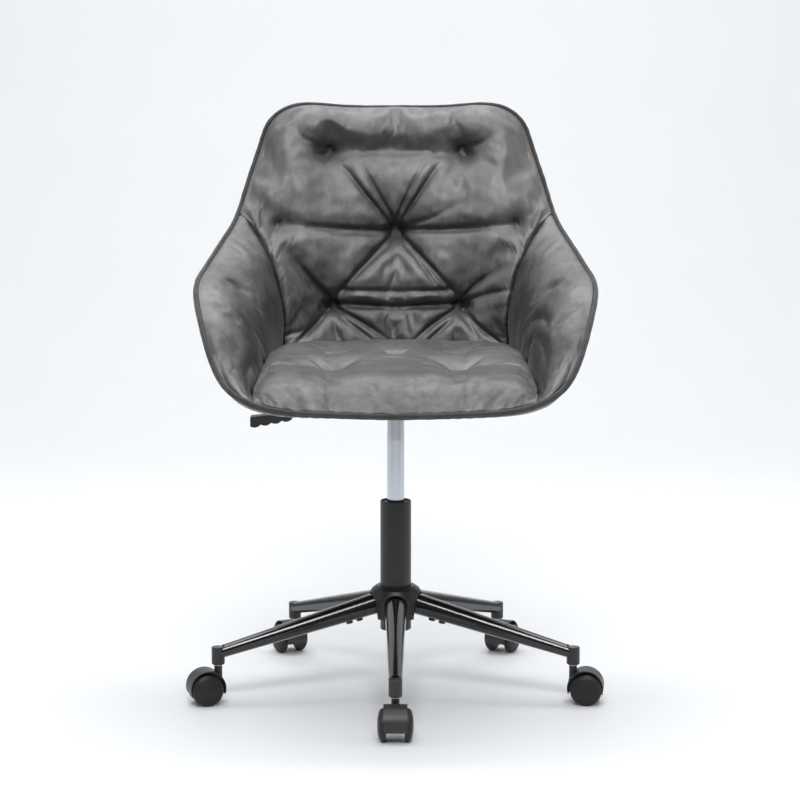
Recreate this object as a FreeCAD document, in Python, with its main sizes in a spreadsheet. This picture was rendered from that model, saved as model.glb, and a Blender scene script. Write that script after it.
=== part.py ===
"""Swivel office chair: tub shell on a gas lift and a five-leg caster base.

Millimetres, +Z up, the front faces -Y, +X is to the right of someone facing the chair.
The origin is on the floor, on the axis of the gas lift.
"""

import FreeCAD, Part
import math
import os
import re

import Sketcher
from FreeCAD import Rotation, Vector

SIZES = {
    # gas lift
    "column_radius": 25,
    "column_wall": 2,
    "column_foot": 100,
    "column_head": 311.7,
    "foot_lip": 2.5,
    "foot_hole": 12,
    "bush_length": 100,
    "bush_recess": 2,
    "lift_radius": 14,
    "lift_wall": 1.5,
    "lift_foot": 225.5,
    "lift_taper": 410.5,
    "lift_head": 480,
    "lift_head_radius": 13.1,
    "lift_gland": 8,
    "lift_plug": 30,
    "stroke": 95,
    "rod_radius": 5,
    "rod_foot": 93,
    "piston_height": 12,
    "race_radius": 20,
    "race_thickness": 2,
    "ball_radius": 1.5,
    "ball_circle": 13,
    "bumper_radius": 13.5,
    "clip_radius": 8,
    "clip_thickness": 1.2,
    "pin_radius": 4,
    "pin_stand": 6.5,
    "pin_foot": 454,
    # running and assembly gaps
    "running_gap": 0.05,
    "face_gap": 0.3,
    # base
    "hub_radius": 28.5,
    "hub_foot": 119.5,
    "hub_head": 165,
    "cover_radius": 44,
    "cover_foot": 121,
    "cover_head": 172.5,
    "cover_wall": 2.2,
    "arch_gap": 0.9,
    "leg_root": 33,
    "leg_reach": 297,
    "leg_root_width": 35.4,
    "leg_root_height": 35.4,
    "leg_root_middle": 144.8,
    "leg_tip_width": 20.5,
    "leg_tip_height": 20,
    "leg_tip_middle": 81.4,
    "leg_wall": 1.8,
    "leg_corner": 0.365,
    "spigot_end": 92,
    "spigot_width": 21,
    "leg_bolt_radius": 3,
    "leg_bolt_head": 5.5,
    "leg_bolt_head_height": 3.2,
    "leg_bolt_near": 62,
    "leg_bolt_far": 79,
    "sleeve_radius": 10.5,
    "sleeve_foot": 62.9,
    "sleeve_head": 91.2,
    "socket_radius": 7,
    "socket_length": 24,
    # casters
    "stem_radius": 5.5,
    "stem_length": 22,
    "collar_radius": 6.6,
    "collar_thickness": 1.3,
    "shank_radius": 4,
    "shank_length": 16,
    "trail": 21.5,
    "wheel_radius": 25,
    "wheel_inner": 14.25,
    "wheel_outer": 27.2,
    "wheel_tread": 20.4,
    "wheel_shoulder": 25.4,
    "wheel_shoulder_radius": 17,
    "wheel_tread_arc": 9.5,
    "wheel_boss": 6,
    "wheel_cap": 1.6,
    "axle_radius": 3,
    "axle_end": 1.2,
    "hood_radius": 28.8,
    "hood_wall": 1.6,
    "hood_width": 36,
    "hood_back": 1.4,
    "hood_raise": 2.3,
    "hood_foot": 18.5,
    "hood_web": 12.6,
    "hood_hub": 6,
    "neck_radius": 6.3,
    # mechanism and lever
    "plate_thickness": 2.2,
    "plate_half_length": 95,
    "plate_half_width": 72,
    "well_half_length": 76,
    "well_half_width": 34,
    "well_foot": 451.5,
    "socket_wall": 3.4,
    "socket_head": 478,
    "ear_inset": 7,
    "ear_thickness": 2.5,
    "ear_radius": 6.5,
    "pivot_offset": 40,
    "pivot_height": 461,
    "pivot_radius": 2.5,
    "lever_radius": 3.5,
    "lever_eye": 6,
    "striker_reach": 6,
    "grip_start": 166,
    "grip_start_height": 451,
    "lever_end": 233.5,
    "lever_end_height": 443.5,
    "grip_width": 26,
    "grip_thick": 15,
    "grip_thin": 10,
    "plate_bolt_radius": 4,
    "plate_bolt_head": 6.5,
    "plate_bolt_head_height": 5,
    "plate_bolt_x": 84,
    "plate_bolt_y": 60,
    "nut_radius": 5.5,
    "nut_flange": 10,
    "nut_flange_thickness": 1.2,
    # seat board and shell
    "shell_floor": 468,
    "shell_axis_y": -20,
    "shell_half_width": 314,
    "shell_half_depth": 295,
    "shell_height": 471,
    "floor_half_width": 262,
    "floor_half_depth": 242,
    "floor_front_depth": 150,
    "floor_roundness": 3.4,
    "floor_bend": 70,
    "skin": 2.5,
    "hem": 22,
    "frame_wall": 8,
    "board_thickness": 12,
    "board_half_width": 198,
    "board_half_depth": 156,
    "board_middle_y": -4,
    "board_corner": 110,
    "dust_cover_thickness": 1,
    "dust_cover_margin": 10,
    "piping_radius": 3.4,
    "rim_gap": 1.6,
    "back_pad_low": 74,
    "back_pad_high": 40,
    "arm_pad_low": 62,
    "arm_pad_high": 50,
    "pad_gap": 0.8,
    "pad_foot": 54,
    "pad_roll": 34,
    "seam_angle": 30,
    "arm_front_angle": -30,
    "seat_height": 549,
    "seat_front_height": 536,
    "seat_front_back": 72,
    "seat_front_roll": 17,
    "seat_slope_back": 150,
    "seat_shoulder": 42,
    "seat_corner_spread": 10,
    "pocket_depth": 15,
}

LEG_ANGLES = {"front": -90, "right": -18, "rear_right": 54, "rear_left": 126, "left": 198}
TRAIL_ANGLES = {"front": -90, "right": -7, "rear_right": 61, "rear_left": 119, "left": 198}

# The rim, from the middle of the back down to the middle of the front. Each point is a share of
# the shell's half width, of its half depth behind the shell axis, and of its height.
RIM_SHAPE = (
    (0.000, 1.000, 1.000),
    (0.320, 0.992, 1.004),
    (0.590, 0.960, 0.996),
    (0.683, 0.930, 0.945),
    (0.727, 0.898, 0.872),
    (0.787, 0.797, 0.746),
    (0.841, 0.661, 0.624),
    (0.897, 0.445, 0.551),
    (0.978, 0.105, 0.459),
    (1.000, -0.168, 0.404),
    (0.966, -0.356, 0.323),
    (0.924, -0.490, 0.243),
    (0.862, -0.608, 0.154),
    (0.785, -0.710, 0.103),
    (0.650, -0.785, 0.064),
    (0.385, -0.832, 0.045),
    (0.000, -0.847, 0.039),
)

doc = FreeCAD.newDocument("office_chair")
sheet = doc.addObject("Spreadsheet::Sheet", "Sizes")
for row, (alias, number) in enumerate(SIZES.items(), 1):
    sheet.set("A%d" % row, alias)
    sheet.set("B%d" % row, str(number))
    sheet.setAlias("B%d" % row, alias)
doc.recompute()

parts = {}


# ---- helpers: expressions, sketches and features ----


def bound(text):
    """The same expression with each size's name pointing at the sheet."""
    return re.sub(r"[a-z_]\w*", lambda word: "Sizes." + word[0] if word[0] in SIZES else word[0], text)


def mm(text):
    """The expression's value."""
    return float(sheet.evalExpression(bound(text)))


def keep(label, item):
    """Makes the object the sub-part of that name."""
    item.Label = label
    parts[label] = item
    return item


def new_body(label):
    return doc.addObject("PartDesign::Body", label + "_body")


def place(item, x="0", y="0", z="0", turn=0):
    """Sets the object at x, y, z after a turn about the vertical, in degrees."""
    item.Placement = FreeCAD.Placement(Vector(mm(x), mm(y), mm(z)), Rotation(Vector(0, 0, 1), turn))
    for axis, text in (("x", x), ("y", y), ("z", z)):
        item.setExpression(".Placement.Base." + axis, bound(text))
    return item


def new_sketch(body, plane, lift="0"):
    """An empty sketch parallel to one of the body's own origin planes."""
    face = next(item for item in body.Origin.OriginFeatures if item.Role == plane)
    sketch = body.newObject("Sketcher::SketchObject", "Sketch")
    sketch.AttachmentSupport = [(face, "")]
    sketch.MapMode = "FlatFace"
    sketch.setExpression(".AttachmentOffset.Base.z", bound(lift))
    return sketch


def pin_point(sketch, edge, end, x, y):
    for kind, text in (("DistanceX", x), ("DistanceY", y)):
        index = sketch.addConstraint(Sketcher.Constraint(kind, -1, 1, edge, end, mm(text)))
        sketch.setExpression("Constraints[%d]" % index, bound(text))


def arc_between(start, end, radius):
    """The short arc between two points; it bulges to the right of the way from start to end."""
    chord = end - start
    half = chord.Length / 2
    rise = math.sqrt(max(radius * radius - half * half, 0))
    left = Vector(-chord.y, chord.x, 0).normalize()
    centre = (start + end) * 0.5 + left * rise
    first = math.atan2(start.y - centre.y, start.x - centre.x)
    last = math.atan2(end.y - centre.y, end.x - centre.x)
    circle = Part.Circle(centre, Vector(0, 0, 1), radius)
    return Part.ArcOfCircle(circle, first, last if last > first else last + 2 * math.pi)


def polygon(sketch, corners):
    """A closed outline. A third entry on a corner is the radius of the arc to the next corner,
    which needs the outline to run anticlockwise."""
    points = [Vector(mm(corner[0]), mm(corner[1]), 0) for corner in corners]
    first = sketch.GeometryCount
    count = len(corners)
    for index, corner in enumerate(corners):
        start, end = points[index], points[(index + 1) % count]
        if len(corner) > 2:
            sketch.addGeometry(arc_between(start, end, mm(corner[2])), False)
        else:
            sketch.addGeometry(Part.LineSegment(start, end), False)
    for index in range(count):
        following = first + (index + 1) % count
        sketch.addConstraint(Sketcher.Constraint("Coincident", first + index, 2, following, 1))
    for index, corner in enumerate(corners):
        pin_point(sketch, first + index, 1, corner[0], corner[1])
        if len(corner) > 2:
            number = sketch.addConstraint(Sketcher.Constraint("Radius", first + index, mm(corner[2])))
            sketch.setExpression("Constraints[%d]" % number, bound(corner[2]))
    return sketch


def circle(sketch, x, y, radius):
    edge = sketch.addGeometry(Part.Circle(Vector(mm(x), mm(y), 0), Vector(0, 0, 1), mm(radius)), False)
    pin_point(sketch, edge, 3, x, y)
    index = sketch.addConstraint(Sketcher.Constraint("Radius", edge, mm(radius)))
    sketch.setExpression("Constraints[%d]" % index, bound(radius))
    return sketch


def extrude(body, kind, sketch, length, symmetric=False, flip=False):
    """A Pad or a Pocket."""
    feature = body.newObject("PartDesign::" + kind, kind)
    feature.Profile = sketch
    feature.setExpression("Length", bound(length))
    if symmetric:
        feature.SideType = "Symmetric"
    feature.Reversed = flip
    return feature


def turn_solid(body, corners, kind="Revolution"):
    """A Revolution or a Groove about the body's Z axis; the outline is in radius and height."""
    sketch = polygon(new_sketch(body, "XZ_Plane"), corners)
    feature = body.newObject("PartDesign::" + kind, kind)
    feature.Profile = sketch
    feature.ReferenceAxis = (sketch, ["V_Axis"])
    feature.Angle = 360
    return feature


def turned(label, corners):
    body = new_body(label)
    turn_solid(body, corners)
    return body


def repeat(body, feature, count):
    """Repeats one feature evenly about the body's Z axis."""
    axis = next(item for item in body.Origin.OriginFeatures if item.Role == "Z_Axis")
    pattern = body.newObject("PartDesign::PolarPattern", "Pattern")
    pattern.Originals = [feature]
    pattern.Axis = (axis, [""])
    pattern.Angle = 360
    pattern.Occurrences = count
    body.Tip = pattern
    return pattern


def compound(name, items):
    group = doc.addObject("Part::Compound", name)
    group.Links = items
    return group


def cut(name, base, tool):
    result = doc.addObject("Part::Cut", name)
    result.Base = base
    result.Tool = tool
    return result


def solid_feature(label, shape):
    feature = doc.addObject("Part::Feature", label + "_feature")
    feature.Shape = shape
    return keep(label, feature)


# ---- gas lift ----


def column():
    keep("column_tube", turned("column_tube", (
        ("foot_hole", "column_foot"),
        ("column_radius - 1", "column_foot"),
        ("column_radius", "column_foot + 1"),
        ("column_radius", "column_head - 1"),
        ("column_radius - 1", "column_head"),
        ("column_radius - column_wall", "column_head"),
        ("column_radius - column_wall", "column_foot + foot_lip"),
        ("foot_hole", "column_foot + foot_lip"),
    )))
    keep("column_bush", turned("column_bush", (
        ("lift_radius + running_gap", "column_head - bush_recess - bush_length"),
        ("column_radius - column_wall", "column_head - bush_recess - bush_length"),
        ("column_radius - column_wall", "column_head - bush_recess"),
        ("lift_radius + 1.5", "column_head - bush_recess"),
        ("lift_radius + running_gap", "column_head - bush_recess - 1.5"),
    )))


RACE_FLOOR = "column_foot + foot_lip"
UPPER_RACE = RACE_FLOOR + " + race_thickness + 2 * ball_radius + 0.2"
COLLAR_FLOOR = UPPER_RACE + " + race_thickness"
BUMPER_FLOOR = COLLAR_FLOOR + " + 3"


def thrust_bearing():
    race = turned("race", (
        ("rod_radius + 1", RACE_FLOOR),
        ("race_radius", RACE_FLOOR),
        ("race_radius", RACE_FLOOR + " + race_thickness"),
        ("rod_radius + 1", RACE_FLOOR + " + race_thickness"),
    ))
    items = [race]
    for index in range(12):
        ball = doc.addObject("Part::Sphere", "Ball")
        ball.setExpression("Radius", bound("ball_radius"))
        angle = "%d deg" % (index * 30)
        place(ball, "ball_circle * cos(%s)" % angle, "ball_circle * sin(%s)" % angle,
              RACE_FLOOR + " + race_thickness + ball_radius")
        items.append(ball)
    keep("thrust_bearing", compound("thrust_bearing_group", items))
    keep("bearing_race_upper", turned("bearing_race_upper", (
        ("rod_radius", UPPER_RACE),
        ("race_radius", UPPER_RACE),
        ("race_radius", COLLAR_FLOOR),
        ("rod_radius", COLLAR_FLOOR),
    )))


def piston_rod():
    head = "lift_foot + lift_gland + 2 + piston_height"
    keep("piston_rod", turned("piston_rod", (
        ("0", "rod_foot"),
        ("rod_radius - 1", "rod_foot"),
        ("rod_radius - 1", "column_foot - face_gap"),
        ("rod_radius", "column_foot - face_gap"),
        ("rod_radius", COLLAR_FLOOR),
        ("rod_radius + 3", COLLAR_FLOOR),
        ("rod_radius + 3", BUMPER_FLOOR),
        ("rod_radius", BUMPER_FLOOR),
        ("rod_radius", "lift_foot + lift_gland + 2"),
        ("rod_radius - 1.5", "lift_foot + lift_gland + 2"),
        ("rod_radius - 1.5", head),
        ("0", head),
    )))
    keep("piston", turned("piston", (
        ("rod_radius - 1.5", "lift_foot + lift_gland + 2"),
        ("lift_radius - lift_wall - running_gap", "lift_foot + lift_gland + 2"),
        ("lift_radius - lift_wall - running_gap", head),
        ("rod_radius - 1.5", head),
    )))
    keep("bump_stop", turned("bump_stop", (
        ("rod_radius", BUMPER_FLOOR),
        ("bumper_radius", BUMPER_FLOOR),
        ("bumper_radius", "lift_foot - stroke - face_gap"),
        ("rod_radius", "lift_foot - stroke - face_gap"),
    )))
    keep("rod_clip", turned("rod_clip", (
        ("rod_radius - 1", "column_foot - face_gap - clip_thickness"),
        ("clip_radius + 6", "column_foot - face_gap - clip_thickness"),
        ("clip_radius + 6", "column_foot - face_gap"),
        ("rod_radius - 1", "column_foot - face_gap"),
    )))


def gas_cylinder():
    keep("gas_cylinder", turned("gas_cylinder", (
        ("rod_radius + running_gap", "lift_foot"),
        ("lift_radius - 1", "lift_foot"),
        ("lift_radius", "lift_foot + 1"),
        ("lift_radius", "lift_taper"),
        ("lift_head_radius", "lift_head"),
        ("pin_radius + running_gap", "lift_head"),
        ("pin_radius + running_gap", "lift_head - lift_plug"),
        ("lift_radius - lift_wall", "lift_head - lift_plug"),
        ("lift_radius - lift_wall", "lift_foot + lift_gland"),
        ("rod_radius + running_gap", "lift_foot + lift_gland"),
    )))
    keep("valve_pin", turned("valve_pin", (
        ("0", "pin_foot"),
        ("pin_radius", "pin_foot"),
        ("pin_radius", "lift_head + pin_stand - 1"),
        ("pin_radius - 1", "lift_head + pin_stand"),
        ("0", "lift_head + pin_stand"),
    )))


# ---- five-leg base ----

LEG_SLOPE = "((leg_root_middle - leg_tip_middle) / (leg_reach - leg_root))"


def leg_middle(reach):
    """The height of the leg's axis at a distance from the column."""
    return "leg_root_middle - (%s - leg_root) * %s" % (reach, LEG_SLOPE)


def leg_outline(body, lift, width, height, middle, inset):
    """A four-sided section with crowned sides, a share of its width and height at each corner."""
    half_x = "(%s / 2 - %s)" % (width, inset)
    half_z = "(%s / 2 - %s)" % (height, inset)
    x = "(2 * leg_corner * %s)" % half_x
    z = "(2 * leg_corner * %s)" % half_z
    crown = "((%s)^2 / (2 * %s * (1 - 2 * leg_corner)) + %s * (1 - 2 * leg_corner) / 2)"
    flat = crown % (x, half_z, half_z)
    side = crown % (z, half_x, half_x)
    low = "%s - %s" % (middle, z)
    high = "%s + %s" % (middle, z)
    sketch = new_sketch(body, "YZ_Plane", lift)
    return polygon(sketch, (
        ("-" + x, low, flat),
        (x, low, side),
        (x, high, flat),
        ("-" + x, high, side),
    ))


def leg(name, angle, bolt_holes):
    body = new_body("leg_" + name)
    for kind, inset in (("Additive", "0"), ("Subtractive", "leg_wall")):
        root = leg_outline(body, "leg_root", "leg_root_width", "leg_root_height", "leg_root_middle", inset)
        tip = leg_outline(body, "leg_reach", "leg_tip_width", "leg_tip_height", "leg_tip_middle", inset)
        loft = body.newObject("PartDesign::%sLoft" % kind, "Loft")
        loft.Profile = root
        loft.Sections = [tip]
        loft.Ruled = True
    sleeve_space = doc.addObject("Part::Cylinder", "SleeveSpace")
    sleeve_space.setExpression("Radius", bound("sleeve_radius"))
    sleeve_space.setExpression("Height", bound("sleeve_head + 10 - sleeve_foot"))
    place(sleeve_space, "leg_reach", "0", "sleeve_foot")
    tools = compound("leg_tools", [sleeve_space] + bolt_holes)
    result = cut("leg_cut", body, tools)
    place(result, turn=angle)
    keep("leg_" + name, result)


def leg_bolt_shapes(radius, start, end):
    """Cylinders on the two bolt axes of a leg along +X, from below its underside to above it."""
    slope = math.atan(mm(LEG_SLOPE + " - (leg_root_height - leg_tip_height) / 2 / (leg_reach - leg_root)"))
    items = []
    for reach in ("leg_bolt_near", "leg_bolt_far"):
        share = "(%s - leg_root) / (leg_reach - leg_root)" % reach
        height = "leg_root_height + (leg_tip_height - leg_root_height) * %s" % share
        underside = "%s - (%s) / 2" % (leg_middle(reach), height)
        item = doc.addObject("Part::Cylinder", "BoltAxis")
        item.setExpression("Radius", bound(radius))
        item.setExpression("Height", bound("(%s) - (%s)" % (end, start)))
        lift = Vector(math.sin(slope), 0, math.cos(slope)) * mm(start)
        base = Vector(mm(reach), 0, mm(underside)) + lift
        item.Placement = FreeCAD.Placement(base, Rotation(Vector(0, 1, 0), math.degrees(slope)))
        items.append(item)
    return items


def leg_bolts():
    items = []
    for angle in LEG_ANGLES.values():
        heads = leg_bolt_shapes("leg_bolt_head", "-leg_bolt_head_height", "0")
        shanks = leg_bolt_shapes("leg_bolt_radius", "0", "leg_wall + 10")
        for head, shank in zip(heads, shanks):
            bolt = doc.addObject("Part::MultiFuse", "Bolt")
            bolt.Shapes = [head, shank]
            place(bolt, turn=angle)
            items.append(bolt)
    keep("leg_bolts", compound("leg_bolts_group", items))


def hub():
    body = turned("hub_core", (
        ("column_radius", "hub_foot"),
        ("hub_radius", "hub_foot"),
        ("hub_radius", "hub_head"),
        ("column_radius", "hub_head"),
    ))
    half = "spigot_width / 2"
    near, far = leg_middle("(column_radius + 1.5)"), leg_middle("spigot_end")
    sketch = polygon(new_sketch(body, "XZ_Plane"), (
        ("column_radius + 1.5", "%s - %s" % (near, half)),
        ("spigot_end", "%s - %s" % (far, half)),
        ("spigot_end", "%s + %s" % (far, half)),
        ("column_radius + 1.5", "%s + %s" % (near, half)),
    ))
    repeat(body, extrude(body, "Pad", sketch, "spigot_width", symmetric=True), len(LEG_ANGLES))
    threads = []
    for index in range(len(LEG_ANGLES)):
        tools = compound("threads", leg_bolt_shapes("leg_bolt_radius", "0", "leg_wall + 10.5"))
        threads.append(place(tools, turn=index * 72))
    result = cut("hub_cut", body, compound("hub_threads", threads))
    keep("hub_core", place(result, turn=LEG_ANGLES["front"]))

    cover = turned("hub_cover", (
        ("column_radius + face_gap", "cover_head - 4"),
        ("hub_radius + 1", "cover_head - 4"),
        ("cover_radius - cover_wall - 5.5", "cover_head - 9"),
        ("cover_radius - cover_wall - 1", "cover_head - 15"),
        ("cover_radius - cover_wall", "cover_head - 22"),
        ("cover_radius - cover_wall - 3", "cover_foot"),
        ("cover_radius - 3", "cover_foot"),
        ("cover_radius", "cover_head - 20.5"),
        ("cover_radius - 1", "cover_head - 12.5"),
        ("cover_radius - 6", "cover_head - 5"),
        ("cover_radius - 13", "cover_head"),
        ("column_radius + face_gap", "cover_head"),
    ))
    arch = "(leg_root_width / 2 + arch_gap)"
    sketch = polygon(new_sketch(cover, "YZ_Plane", "hub_radius + 2"), (
        ("-" + arch, "cover_foot - 10"),
        (arch, "cover_foot - 10"),
        (arch, "leg_root_middle", arch + " * 1.001"),
        ("-" + arch, "leg_root_middle"),
    ))
    opening = extrude(cover, "Pocket", sketch, "cover_radius", flip=True)
    repeat(cover, opening, len(LEG_ANGLES))
    keep("hub_cover", place(cover, turn=LEG_ANGLES["front"]))


def at_leg_tip(item, name):
    x = "leg_reach * cos(%d deg)" % LEG_ANGLES[name]
    y = "leg_reach * sin(%d deg)" % LEG_ANGLES[name]
    return place(item, x, y, turn=TRAIL_ANGLES[name])


def stem_sleeves():
    sleeves, sockets = [], []
    for name in LEG_ANGLES:
        sleeve = turned("sleeve", (
            ("0", "sleeve_foot + socket_length"),
            ("socket_radius", "sleeve_foot + socket_length"),
            ("socket_radius", "sleeve_foot"),
            ("sleeve_radius - 1.5", "sleeve_foot"),
            ("sleeve_radius", "sleeve_foot + 1.5"),
            ("sleeve_radius", "sleeve_head - 1"),
            ("sleeve_radius - 1", "sleeve_head"),
            ("0", "sleeve_head"),
        ))
        sleeves.append(at_leg_tip(sleeve, name))
        socket = turned("socket", (
            ("stem_radius + running_gap", "sleeve_foot"),
            ("socket_radius", "sleeve_foot"),
            ("socket_radius", "sleeve_foot + socket_length"),
            ("stem_radius + running_gap", "sleeve_foot + socket_length"),
        ))
        sockets.append(at_leg_tip(socket, name))
    keep("stem_sleeves", compound("stem_sleeves_group", sleeves))
    keep("stem_sockets", compound("stem_sockets_group", sockets))


# ---- casters; local X runs from the stem to the axle ----


def caster_stem(name):
    top = "sleeve_foot - face_gap"
    stem = turned("stem", (
        ("0", top + " - collar_thickness - shank_length"),
        ("shank_radius", top + " - collar_thickness - shank_length"),
        ("shank_radius", top + " - collar_thickness"),
        ("collar_radius", top + " - collar_thickness"),
        ("collar_radius", top),
        ("stem_radius", top),
        ("stem_radius", top + " + stem_length - 1"),
        ("stem_radius - 1", top + " + stem_length"),
        ("0", top + " + stem_length"),
    ))
    keep("caster_%s_stem" % name, at_leg_tip(stem, name))


def caster_hood(name):
    body = new_body("hood")
    middle = ("trail - hood_back", "wheel_radius + hood_raise")
    inner = "hood_radius - hood_wall"
    extrude(body, "Pad", circle(new_sketch(body, "XZ_Plane"), *middle, "hood_radius"), "hood_width", True)
    extrude(body, "Pocket", circle(new_sketch(body, "XZ_Plane"), *middle, inner), "hood_width * 2", True)
    extrude(body, "Pad", circle(new_sketch(body, "XZ_Plane"), *middle, inner + " + 0.5"), "hood_web", True)
    reach = "hood_radius * 2"
    below = polygon(new_sketch(body, "XZ_Plane"), (
        ("trail - " + reach, "-" + reach),
        ("trail + " + reach, "-" + reach),
        ("trail + " + reach, "hood_foot"),
        ("trail - " + reach, "hood_foot"),
    ))
    extrude(body, "Pocket", below, "hood_width * 2", True)
    hub_width = "2 * (wheel_inner - face_gap)"
    extrude(body, "Pad", circle(new_sketch(body, "XZ_Plane"), "trail", "wheel_radius", "hood_hub"), hub_width, True)
    top = "sleeve_foot - face_gap - collar_thickness"
    neck = circle(new_sketch(body, "XY_Plane", "wheel_radius"), "0", "0", "neck_radius")
    extrude(body, "Pad", neck, top + " - wheel_radius")
    hole = circle(new_sketch(body, "XY_Plane", top), "0", "0", "shank_radius")
    extrude(body, "Pocket", hole, "shank_length")
    bore = circle(new_sketch(body, "XZ_Plane"), "trail", "wheel_radius", "axle_radius")
    extrude(body, "Pocket", bore, "hood_width * 2", True)
    keep("caster_%s_hood" % name, at_leg_tip(body, name))


def caster_axle(name):
    body = new_body("axle")
    sketch = circle(new_sketch(body, "XZ_Plane"), "trail", "wheel_radius", "axle_radius")
    extrude(body, "Pad", sketch, "2 * (wheel_outer - wheel_cap - axle_end)", True)
    keep("caster_%s_axle" % name, at_leg_tip(body, name))


def caster_wheel(name, side, sign):
    """A wheel turned about its own Z axis, then laid on the axle with its crown outwards."""
    run, rise = "(wheel_shoulder_radius - wheel_boss)", "(wheel_outer - wheel_shoulder)"
    crown = "(%s^2 + %s^2) / (2 * %s)" % (run, rise, rise)
    wheel = turned("wheel", (
        ("0", "wheel_outer - wheel_cap"),
        ("axle_radius + running_gap", "wheel_outer - wheel_cap"),
        ("axle_radius + running_gap", "wheel_inner"),
        ("wheel_radius - 0.8", "wheel_inner"),
        ("wheel_radius", "wheel_inner + 0.8"),
        ("wheel_radius", "wheel_tread", "wheel_tread_arc"),
        ("wheel_shoulder_radius", "wheel_shoulder", crown),
        ("wheel_boss", "wheel_outer"),
        ("0", "wheel_outer"),
    ))
    angle = math.radians(TRAIL_ANGLES[name])
    leg_angle = math.radians(LEG_ANGLES[name])
    reach, trail = mm("leg_reach"), mm("trail")
    base = Vector(reach * math.cos(leg_angle) + trail * math.cos(angle),
                  reach * math.sin(leg_angle) + trail * math.sin(angle), mm("wheel_radius"))
    outwards = Vector(-math.sin(angle), math.cos(angle), 0) * sign
    wheel.Placement = FreeCAD.Placement(base, Rotation(Vector(0, 0, 1), outwards))
    keep("caster_%s_wheel_%s" % (name, side), wheel)


# ---- mechanism and lever ----

BOARD_FLOOR = "shell_floor + skin + face_gap"
BOARD_HEAD = BOARD_FLOOR + " + board_thickness"
FLANGE_FLOOR = BOARD_FLOOR + " - plate_thickness"
STRIKER_HEIGHT = "lift_head + pin_stand + 0.2 + lever_radius"


def rectangle(sketch, x0, y0, x1, y1):
    return polygon(sketch, ((x0, y0), (x1, y0), (x1, y1), (x0, y1)))


def centred(sketch, half_x, half_y):
    return rectangle(sketch, "-(%s)" % half_x, "-(%s)" % half_y, half_x, half_y)


def mechanism_plate():
    body = new_body("mechanism_plate")
    flange = centred(new_sketch(body, "XY_Plane", FLANGE_FLOOR), "plate_half_length", "plate_half_width")
    extrude(body, "Pad", flange, "plate_thickness")
    well = centred(new_sketch(body, "XY_Plane", "well_foot"), "well_half_length", "well_half_width")
    extrude(body, "Pad", well, FLANGE_FLOOR + " - well_foot")
    inside = centred(new_sketch(body, "XY_Plane", BOARD_FLOOR), "well_half_length - plate_thickness",
                     "well_half_width - plate_thickness")
    extrude(body, "Pocket", inside, BOARD_FLOOR + " - well_foot - plate_thickness")
    socket = circle(new_sketch(body, "XY_Plane", "well_foot"), "0", "0", "lift_radius + socket_wall")
    extrude(body, "Pad", socket, "socket_head - well_foot")
    for side in ("1", "-1"):
        inner, outer = "%s * ear_inset" % side, "%s * (ear_inset + ear_thickness)" % side
        low, high = (inner, outer) if side == "1" else (outer, inner)
        ear = rectangle(new_sketch(body, "XY_Plane", "well_foot + 1"), "-pivot_offset - ear_radius", low,
                        "-pivot_offset + ear_radius", high)
        extrude(body, "Pad", ear, "pivot_height + ear_radius - 1 - well_foot - 1")
    pivot = circle(new_sketch(body, "XZ_Plane"), "-pivot_offset", "pivot_height", "pivot_radius")
    extrude(body, "Pocket", pivot, "2 * (ear_inset + ear_thickness + 2)", True)
    slot = rectangle(new_sketch(body, "XY_Plane", BOARD_FLOOR), "-well_half_length - 1", "-ear_inset",
                     "-well_half_length + plate_thickness + 2", "ear_inset")
    extrude(body, "Pocket", slot, BOARD_FLOOR + " - well_foot - plate_thickness")
    taper = "lift_taper", "lift_head"
    radius = "lift_radius - (lift_radius - lift_head_radius) * (%s - lift_taper) / (lift_head - lift_taper)"
    turn_solid(body, (
        ("0", "well_foot - 1"),
        (radius % "(well_foot - 1)", "well_foot - 1"),
        (radius % "(socket_head + 1)", "socket_head + 1"),
        ("0", "socket_head + 1"),
    ), "Groove")
    holes = new_sketch(body, "XY_Plane", BOARD_FLOOR)
    for x in ("plate_bolt_x", "-plate_bolt_x"):
        for y in ("plate_bolt_y", "-plate_bolt_y"):
            circle(holes, x, y, "plate_bolt_radius")
    extrude(body, "Pocket", holes, "plate_thickness")
    keep("mechanism_plate", body)


def plate_fasteners():
    bolts, nuts = [], []
    for x in ("plate_bolt_x", "-plate_bolt_x"):
        for y in ("plate_bolt_y", "-plate_bolt_y"):
            bolt = turned("plate_bolt", (
                ("0", FLANGE_FLOOR + " - plate_bolt_head_height"),
                ("plate_bolt_head", FLANGE_FLOOR + " - plate_bolt_head_height"),
                ("plate_bolt_head", FLANGE_FLOOR),
                ("plate_bolt_radius", FLANGE_FLOOR),
                ("plate_bolt_radius", BOARD_HEAD + " - 0.5"),
                ("0", BOARD_HEAD + " - 0.5"),
            ))
            bolts.append(place(bolt, x, y))
            nut = turned("board_nut", (
                ("plate_bolt_radius", BOARD_FLOOR + " + 2"),
                ("nut_radius", BOARD_FLOOR + " + 2"),
                ("nut_radius", BOARD_HEAD + " - nut_flange_thickness"),
                ("nut_flange", BOARD_HEAD + " - nut_flange_thickness"),
                ("nut_flange", BOARD_HEAD),
                ("plate_bolt_radius", BOARD_HEAD),
            ))
            nuts.append(place(nut, x, y))
    keep("mechanism_bolts", compound("mechanism_bolts_group", bolts))
    keep("board_nuts", compound("board_nuts_group", nuts))


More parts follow.
